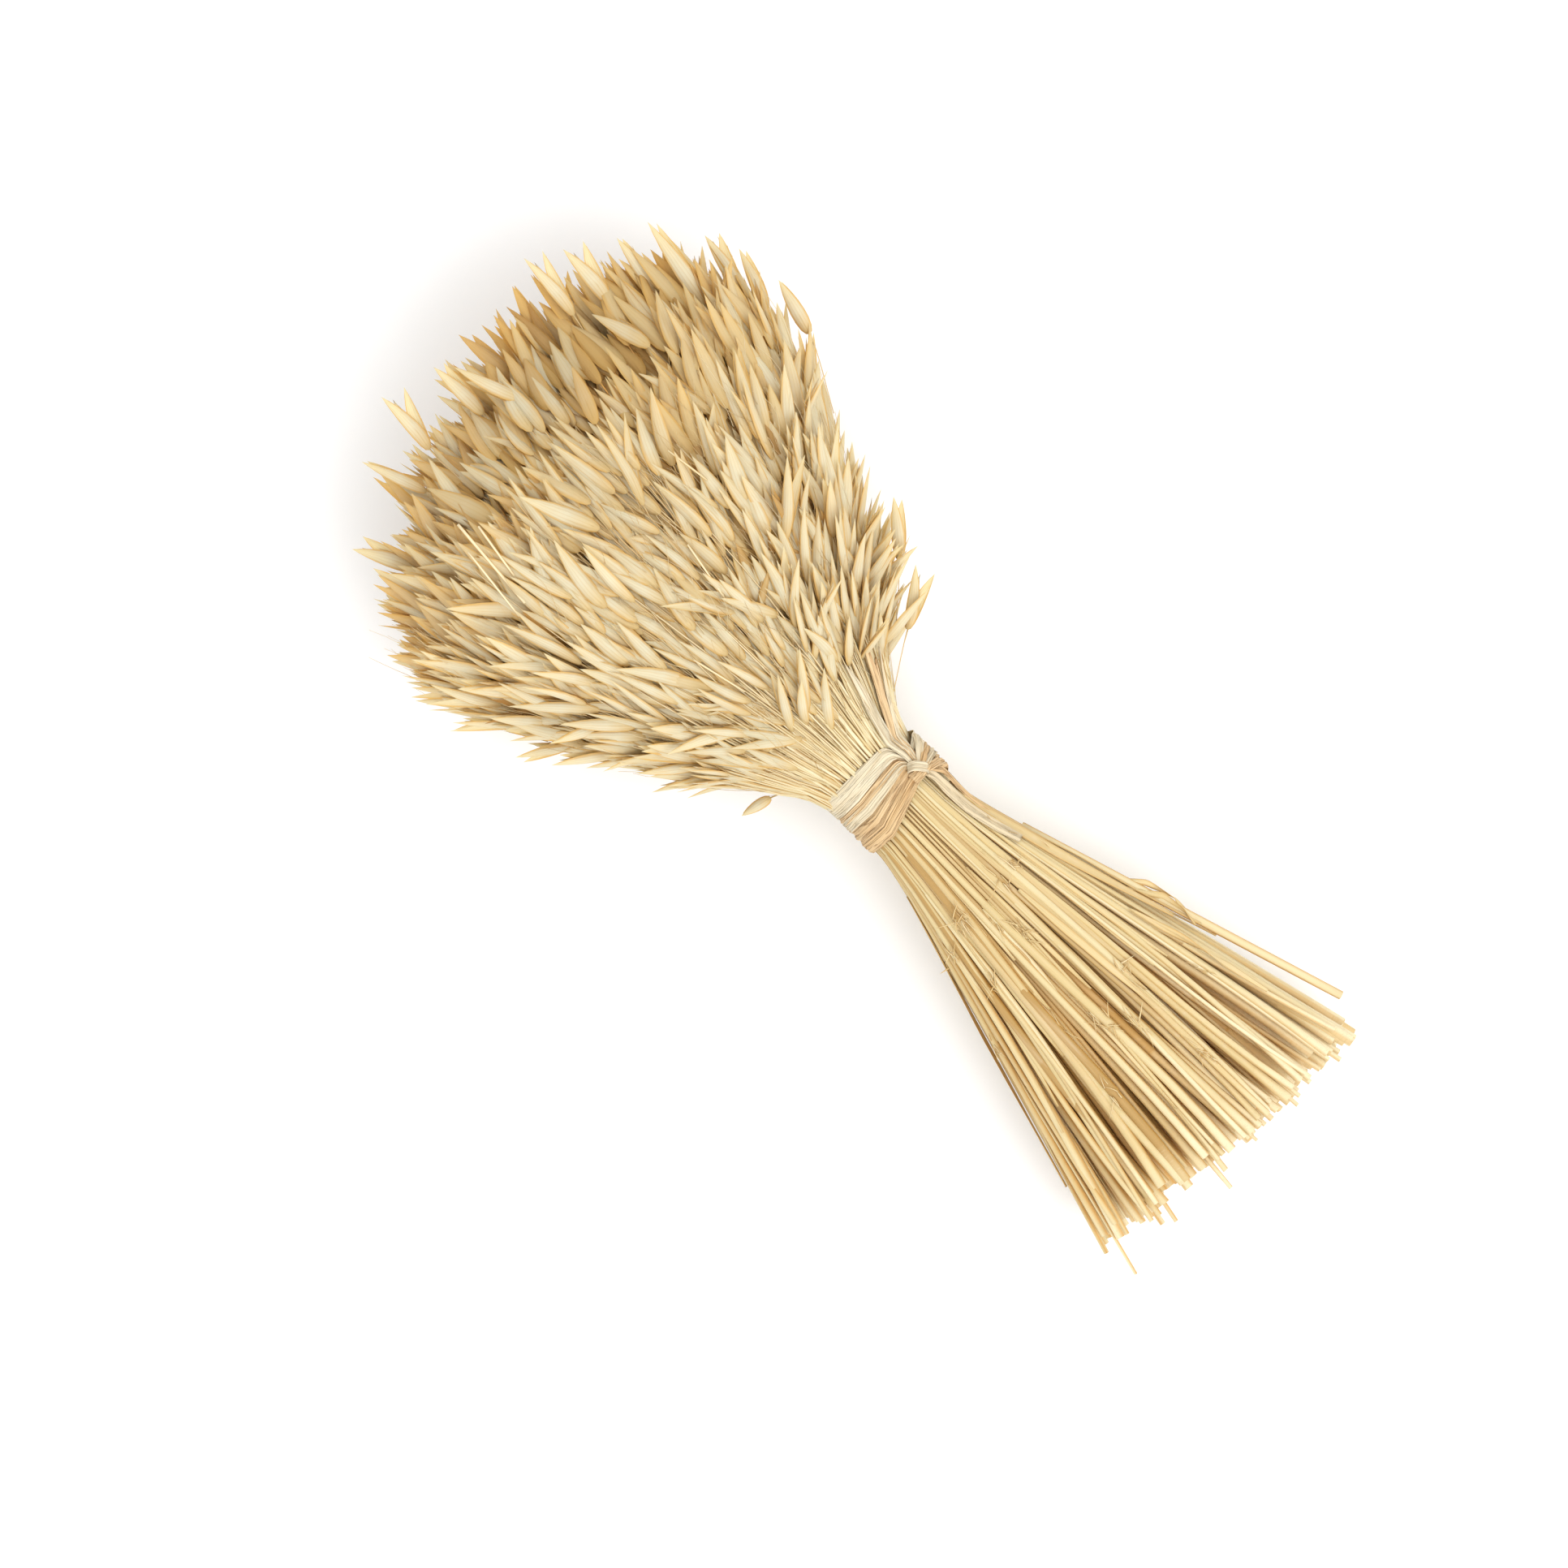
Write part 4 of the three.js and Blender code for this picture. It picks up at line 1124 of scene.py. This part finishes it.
def put_together(name, parts, finishes):
    """One mesh of all the grids in parts, with its grain, tone and painted shade on it."""
    corners, sizes, look = [], [], []
    first = 0
    for part in parts:
        count, size = part["points"].shape[:2]
        start = first + size * np.arange(count)[:, None, None]
        for faces in faces_of(part["rows"], part["columns"], part["closed"]):
            corners.append((start + faces[None]).ravel())
            sizes.append(np.full(count * len(faces), faces.shape[1]))
            look.append(np.full(count * len(faces), part["look"]))
        first += count * size
    corners = np.concatenate(corners)
    sizes = np.concatenate(sizes)
    mesh = bpy.data.meshes.new(name)
    mesh.vertices.add(first)
    mesh.vertices.foreach_set("co", (joined(parts, "points") * MM).astype(np.float32))
    mesh.loops.add(len(corners))
    mesh.loops.foreach_set("vertex_index", corners.astype(np.int32))
    mesh.polygons.add(len(sizes))
    mesh.polygons.foreach_set("loop_start", (np.cumsum(sizes) - sizes).astype(np.int32))
    mesh.polygons.foreach_set("material_index", np.concatenate(look).astype(np.int32))
    mesh.update(calc_edges=True)
    grain = mesh.uv_layers.new(name="grain")
    pair = np.stack([joined(parts, "across")[corners], joined(parts, "along")[corners]], axis=1)
    grain.data.foreach_set("uv", pair.astype(np.float32).ravel())
    for label in ("tone", "deep"):
        attribute = mesh.attributes.new(label, "FLOAT", "POINT")
        attribute.data.foreach_set("value", joined(parts, label).astype(np.float32))
    mesh.shade_smooth()
    for finish in finishes:
        mesh.materials.append(finish)
    piece = bpy.data.objects.new(name, mesh)
    bpy.context.collection.objects.link(piece)
    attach(piece, "root")
    return piece


def of_strand(part, number):
    mine = part["owner"] == number
    picked = {key: part[key][mine] for key in ("points", "across", "along", "tone", "deep")}
    return {**part, **picked}


stalk_finishes = [finish_straw(), finish_husk()]
for number, name in enumerate(strand_names):
    parts = [of_strand(part, number) for part in grown]
    strand = put_together(name.replace("oat_strand", "oat_stalks"), parts, stalk_finishes)
    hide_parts(name)

# The raffia: two flat ribbons of dry palm leaf, a pale one and a tan one, wound round the waist together
# and pulled tight in one knot. Their folds gather at the knot and spread out again behind it. The tails
# of the knot lie over the stems on the head's side and over the straws on the other.
KNOT_AT = 2.27
KNOT_S = -2.5
KNOT_GATHERS = (0.75, 0.4)
GATHER_HIGH = 0.42
BAND_RADIUS = 21.2
BAND_BULGE = 2.5
BAND_BULGES_AT = 2.85
BAND_BULGE_HALF = 0.36
BAND_THICK = 0.34
BAND_WAVER = 0.35
BAND_OVERLAP = 0.15
HEAD_EDGE = (
    (0, 14.6), (2.0, 13.8), (2.14, 12), (2.27, 3), (2.75, 9.2), (3.2, 10.6), (3.8, 13), (6.28, 14.6),
)
FAN_EDGE = (
    (0, -12.8), (1.05, -13.6), (1.6, -9.5), (2.05, -6.2), (2.27, -5.6), (2.7, -8.5), (3.2, -11),
    (4, -12.6), (6.28, -12.8),
)
BAND_STATIONS = 84
BAND_COLUMNS = 23
STRIP_COLUMNS = 15
GRAIN_UNIT = 4.0

# Each strip of the band: its colour, where it starts and ends between the band's two edges, how high it
# lies, the height and number of its creases, and its tone.
BAND_STRIPS = (
    ("tan", 0.55, 1.0, 0.1, 0.36, 3.6, 0.5), ("tan", 0.27, 0.45, 0.0, 0.3, 2.3, 0.3),
    ("pale", 0.4, 0.57, 0.3, 0.12, 2.2, 0.4), ("pale", 0.0, 0.31, 0.35, 0.04, 1.7, 0.1),
    ("tan", 0.82, 0.9, 0.5, 0.1, 1.4, 0.8), ("tan", 0.66, 0.72, 0.45, 0.1, 1.2, 0.2),
)


def around_waist(s, phi, radius):
    """A point round the tie, the way round it there, and the way straight out of it."""
    s, phi, radius = np.broadcast_arrays(s, phi, radius)
    sine, cosine, none = np.sin(phi), np.cos(phi), 0 * phi
    point = (tie_x + s, axis_y + radius * cosine, TIE_HEIGHT + TILT * s + radius * sine)
    return tuple(np.stack(xyz, axis=-1) for xyz in (point, (none, -sine, cosine), (none, cosine, sine)))


def band_radius(phi):
    away = (phi - BAND_BULGES_AT + np.pi) % (2 * np.pi) - np.pi
    return BAND_RADIUS + BAND_BULGE * np.exp(-(away / BAND_BULGE_HALF) ** 2)


def lay(look, path, side, out, half, thick, folds, lengths, tone, columns=STRIP_COLUMNS):
    """A strip of raffia of one colour. Where no way across it is given, it lies square to its path."""
    side = unit(np.cross(out, unit(np.gradient(path, axis=0)))) if side is None else side
    points = ribbon(path, side, out, half, thick, folds, columns)
    v = np.linspace(-1, 1, columns)[None]
    across = half[:, None] / GRAIN_UNIT * np.concatenate([v, v[:, ::-1]], axis=1)
    across = np.append(across.ravel(), [0, 0]) + 7 * tone
    along = each_point(lengths, 2 * columns)
    raffia[look].append(grid(points, len(half), 2 * columns, True, across, along, tone, 0.0, None, 0))


raffia = {"pale": [], "tan": []}
lengthwise = np.tile([1.0, 0.0, 0.0], (BAND_STATIONS, 1))
band_phi = KNOT_AT + np.linspace(0.03, 2 * np.pi - 0.02, BAND_STATIONS)
head_edge, fan_edge = (
    np.interp(band_phi, *np.array(edge, float).T, period=2 * np.pi) for edge in (HEAD_EDGE, FAN_EDGE)
)
near_knot = np.exp(-((band_phi - KNOT_AT) / KNOT_GATHERS[0]) ** 2)
near_knot = near_knot + np.exp(-((band_phi - KNOT_AT - 2 * np.pi) / KNOT_GATHERS[1]) ** 2)
for look, start, end, lift, crease, number, tone in BAND_STRIPS:
    middle = head_edge + (fan_edge - head_edge) * (start + end) / 2
    half = (head_edge - fan_edge) * (end - start) / 2 + BAND_OVERLAP
    waver = BAND_WAVER * np.sin(3.3 * band_phi + 9 * tone)
    path, _, out = around_waist(middle + waver * 0.5, band_phi, band_radius(band_phi) + lift)
    folds = (crease + GATHER_HIGH * near_knot, number, 1.6 * np.sin(2.3 * band_phi + tone) + 5 * tone)
    lengths = BAND_RADIUS * band_phi / 10
    lay(look, path, lengthwise, out, half, BAND_THICK, folds, lengths, tone, BAND_COLUMNS)

# The tails: each one's colour, its tone, and then, evenly spaced, its places along the bundle, round it
# and out from its axis, and its half width.
TAILS = (
    ("pale", 0.15, (-3, 6, 14, 26, 38, 46), (2.25, 2.25, 2.245, 2.2, 2.18, 2.17),
     (1.14, 1.16, 1.1, 1.06, 1.05, 1.06), (1.5, 1.9, 2.2, 2.2, 1.2, 0.15)),
    ("tan", 0.3, (-3, 6, 14, 26, 38, 45), (2.3, 2.36, 2.4, 2.44, 2.47, 2.49),
     (1.14, 1.17, 1.1, 1.05, 1.05, 1.05), (1.4, 1.9, 2.4, 2.3, 1.7, 1.2)),
    ("tan", 0.1, (-3, 6, 14, 26, 36, 40), (2.32, 2.38, 2.44, 2.5, 2.54, 2.555),
     (1.12, 1.15, 1.09, 1.04, 1.05, 1.06), (1.2, 1.6, 1.8, 1.4, 0.9, 0.25)),
    ("pale", 0.35, (-3, 6, 14, 26, 35, 42), (2.33, 2.42, 2.53, 2.61, 2.65, 2.67),
     (1.13, 1.17, 1.11, 1.05, 1.05, 1.05), (1.1, 1.7, 1.9, 1.5, 1.0, 0.15)),
    ("pale", 0.75, (-3, -8, -14, -26, -40, -49), (2.33, 2.39, 2.45, 2.5, 2.55, 2.57),
     (1.12, 1.16, 1.1, 1.04, 1.03, 1.04), (1.5, 2.3, 3.2, 3.3, 2.9, 2.3)),
    ("tan", 0.6, (-3, -8, -14, -24, -34, -42), (2.4, 2.6, 2.78, 2.83, 2.82, 2.82),
     (1.14, 1.2, 1.12, 1.05, 1.03, 1.03), (1.4, 2.0, 2.6, 2.4, 1.5, 0.3)),
)
TAIL_STATIONS = 34
TAIL_THICK = 0.3
TAIL_WAVER = 0.012
for number, (look, tone, *stops) in enumerate(TAILS):
    s, phi, rho, half = filled(TAIL_STATIONS, *stops)
    steps = np.linspace(0, 5, TAIL_STATIONS)
    path = place(s, phi + TAIL_WAVER * np.sin(2.1 * steps + number), rho)
    _, _, out = directions(s, phi, rho)
    crease, phase = 0.28 + 0.1 * np.sin(steps + number), 0.7 * np.sin(0.8 * steps) + number
    folds = (crease, 1.6 + 0.3 * (number % 3), phase)
    lay(look, path, None, out, half, TAIL_THICK, folds, np.abs(s) / 10, tone)

# The knot: a small pale loop lies slantwise over the tails' base, on a lump of folds, and pleats run on
# from it down the bundle's side. Each fold has its colour, thickness, height and number of creases and
# tone, and then its places along the bundle, round it and out from its axis, and its half width.
KNOT_FOLDS = (
    ("tan", 2.2, 0.35, 3.1, 0.35, (-3.5, -3.2, -3.0), (2.02, 2.26, 2.5), (21.6, 23.4, 23.2), (2.6, 2.5, 2.4)),
    ("pale", 0.5, 0.4, 1.5, 0.2, (-1.2, 3.2, 7.2), (2.3, 2.5, 2.84), (23.2, 24.3, 23.9), (1.1, 1.6, 2.4)),
    ("tan", 0.5, 0.4, 1.3, 0.55, (-2.2, 0.8, 2.4), (2.3, 2.52, 2.88), (23.6, 24.5, 24.1), (1.0, 1.3, 1.6)),
    ("pale", 0.5, 0.38, 1.4, 0.4, (-3.2, -1.8, -1.2), (2.3, 2.55, 2.95), (23.7, 24.5, 24.2), (0.9, 1.2, 1.7)),
    ("tan", 0.5, 0.42, 2.1, 0.25, (-4.0, -5.2, -6.2), (2.3, 2.55, 2.9), (23.3, 24.2, 23.9), (1.2, 1.7, 2.2)),
)
FOLD_STATIONS = 17
FOLD_BOW = 0.5
for look, thick, crease, number, tone, *stops in KNOT_FOLDS:
    s, phi, radius, half = filled(FOLD_STATIONS, *stops)
    steps = np.linspace(0, 2, FOLD_STATIONS)
    path, _, out = around_waist(s, phi, radius + FOLD_BOW * np.sin(np.pi * steps / 2))
    lay(look, path, None, out, half, thick, (crease, number, 0.4 * np.sin(2 * steps)), steps, tone)

LOOP_PLACE = (KNOT_S + 0.6, KNOT_AT - 0.03, BAND_RADIUS + 0.2)
LOOP_REACH = 4.4
LOOP_RISE = 3.6
LOOP_HALF = 2.1
LOOP_THICK = 0.7
LOOP_FOLDS = (0.22, 2.4, 0.6)
LOOP_TONE = 0.25
LOOP_STATIONS = 15

reach = np.linspace(-LOOP_REACH, LOOP_REACH, LOOP_STATIONS)
middle, around, out = around_waist(*LOOP_PLACE)
slant = (around + (-1.0, 0, 0)) / math.sqrt(2)
rise = LOOP_RISE * np.sqrt(1 - 0.98 * (reach / LOOP_REACH) ** 4)
path = middle + reach[:, None] * slant + rise[:, None] * out
side, upwards = (np.tile(way, (LOOP_STATIONS, 1)) for way in (np.cross(out, slant), out))
half = np.full(LOOP_STATIONS, LOOP_HALF)
lay("pale", path, side, upwards, half, LOOP_THICK, LOOP_FOLDS, reach / 10, LOOP_TONE)

RAFFIA_LOOKS = {
    "pale": {"light": (0.82, 0.73, 0.54), "dark": (0.73, 0.6, 0.39), "streak_and_crease_shade": (0.58, 0.43, 0.24),
             "streaks": 0.4, "creases": 0.25},
    "tan": {"light": (0.8, 0.6, 0.35), "dark": (0.71, 0.48, 0.24), "streak_and_crease_shade": (0.4, 0.21, 0.08),
            "streaks": 0.5, "creases": 0.75},
}
for look, colours in RAFFIA_LOOKS.items():
    finish, values, across, along, tone, deep = start_finish(f"raffia_{look}")
    fine = fibres(values, across, along, tone, 11.0, 0.7)
    thin = fibres(values, across, along, tone + 5.0, 30.0, 0.6)
    broad = fibres(values, across, along, tone, 2.4, 0.5, 2.0)
    colour = tone.step(0.0, 1.0).blend(colours["light"], colours["dark"])
    colour = (broad.step(0.42, 0.7) * 0.7).blend(colour, colours["dark"])
    colour = (thin.step(0.5, 0.7) * 0.5).blend(colour, colours["dark"])
    colour = (fine.step(0.5, 0.66) * colours["streaks"]).blend(colour, colours["streak_and_crease_shade"])
    # Painted shade: a thin dark line along each crease.
    crease = fibres(values, across, along, tone + 9.0, 4.5, 0.3, 1.5) - 0.5
    crease = crease.alone("ABSOLUTE").step(0.004, 0.03)
    colour = ((1 - crease) * colours["creases"]).blend(colour, colours["streak_and_crease_shade"])
    height = fine * 0.6 + thin * 0.2 + crease * 0.5
    end_finish(finish, colour, 0.55 + fine * 0.25, height, 0.5, 0.25, 0.12)
    ribbons = put_together(f"raffia_folds_{look}", raffia[look], [finish])
    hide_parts(f"raffia_ribbon_{look}")
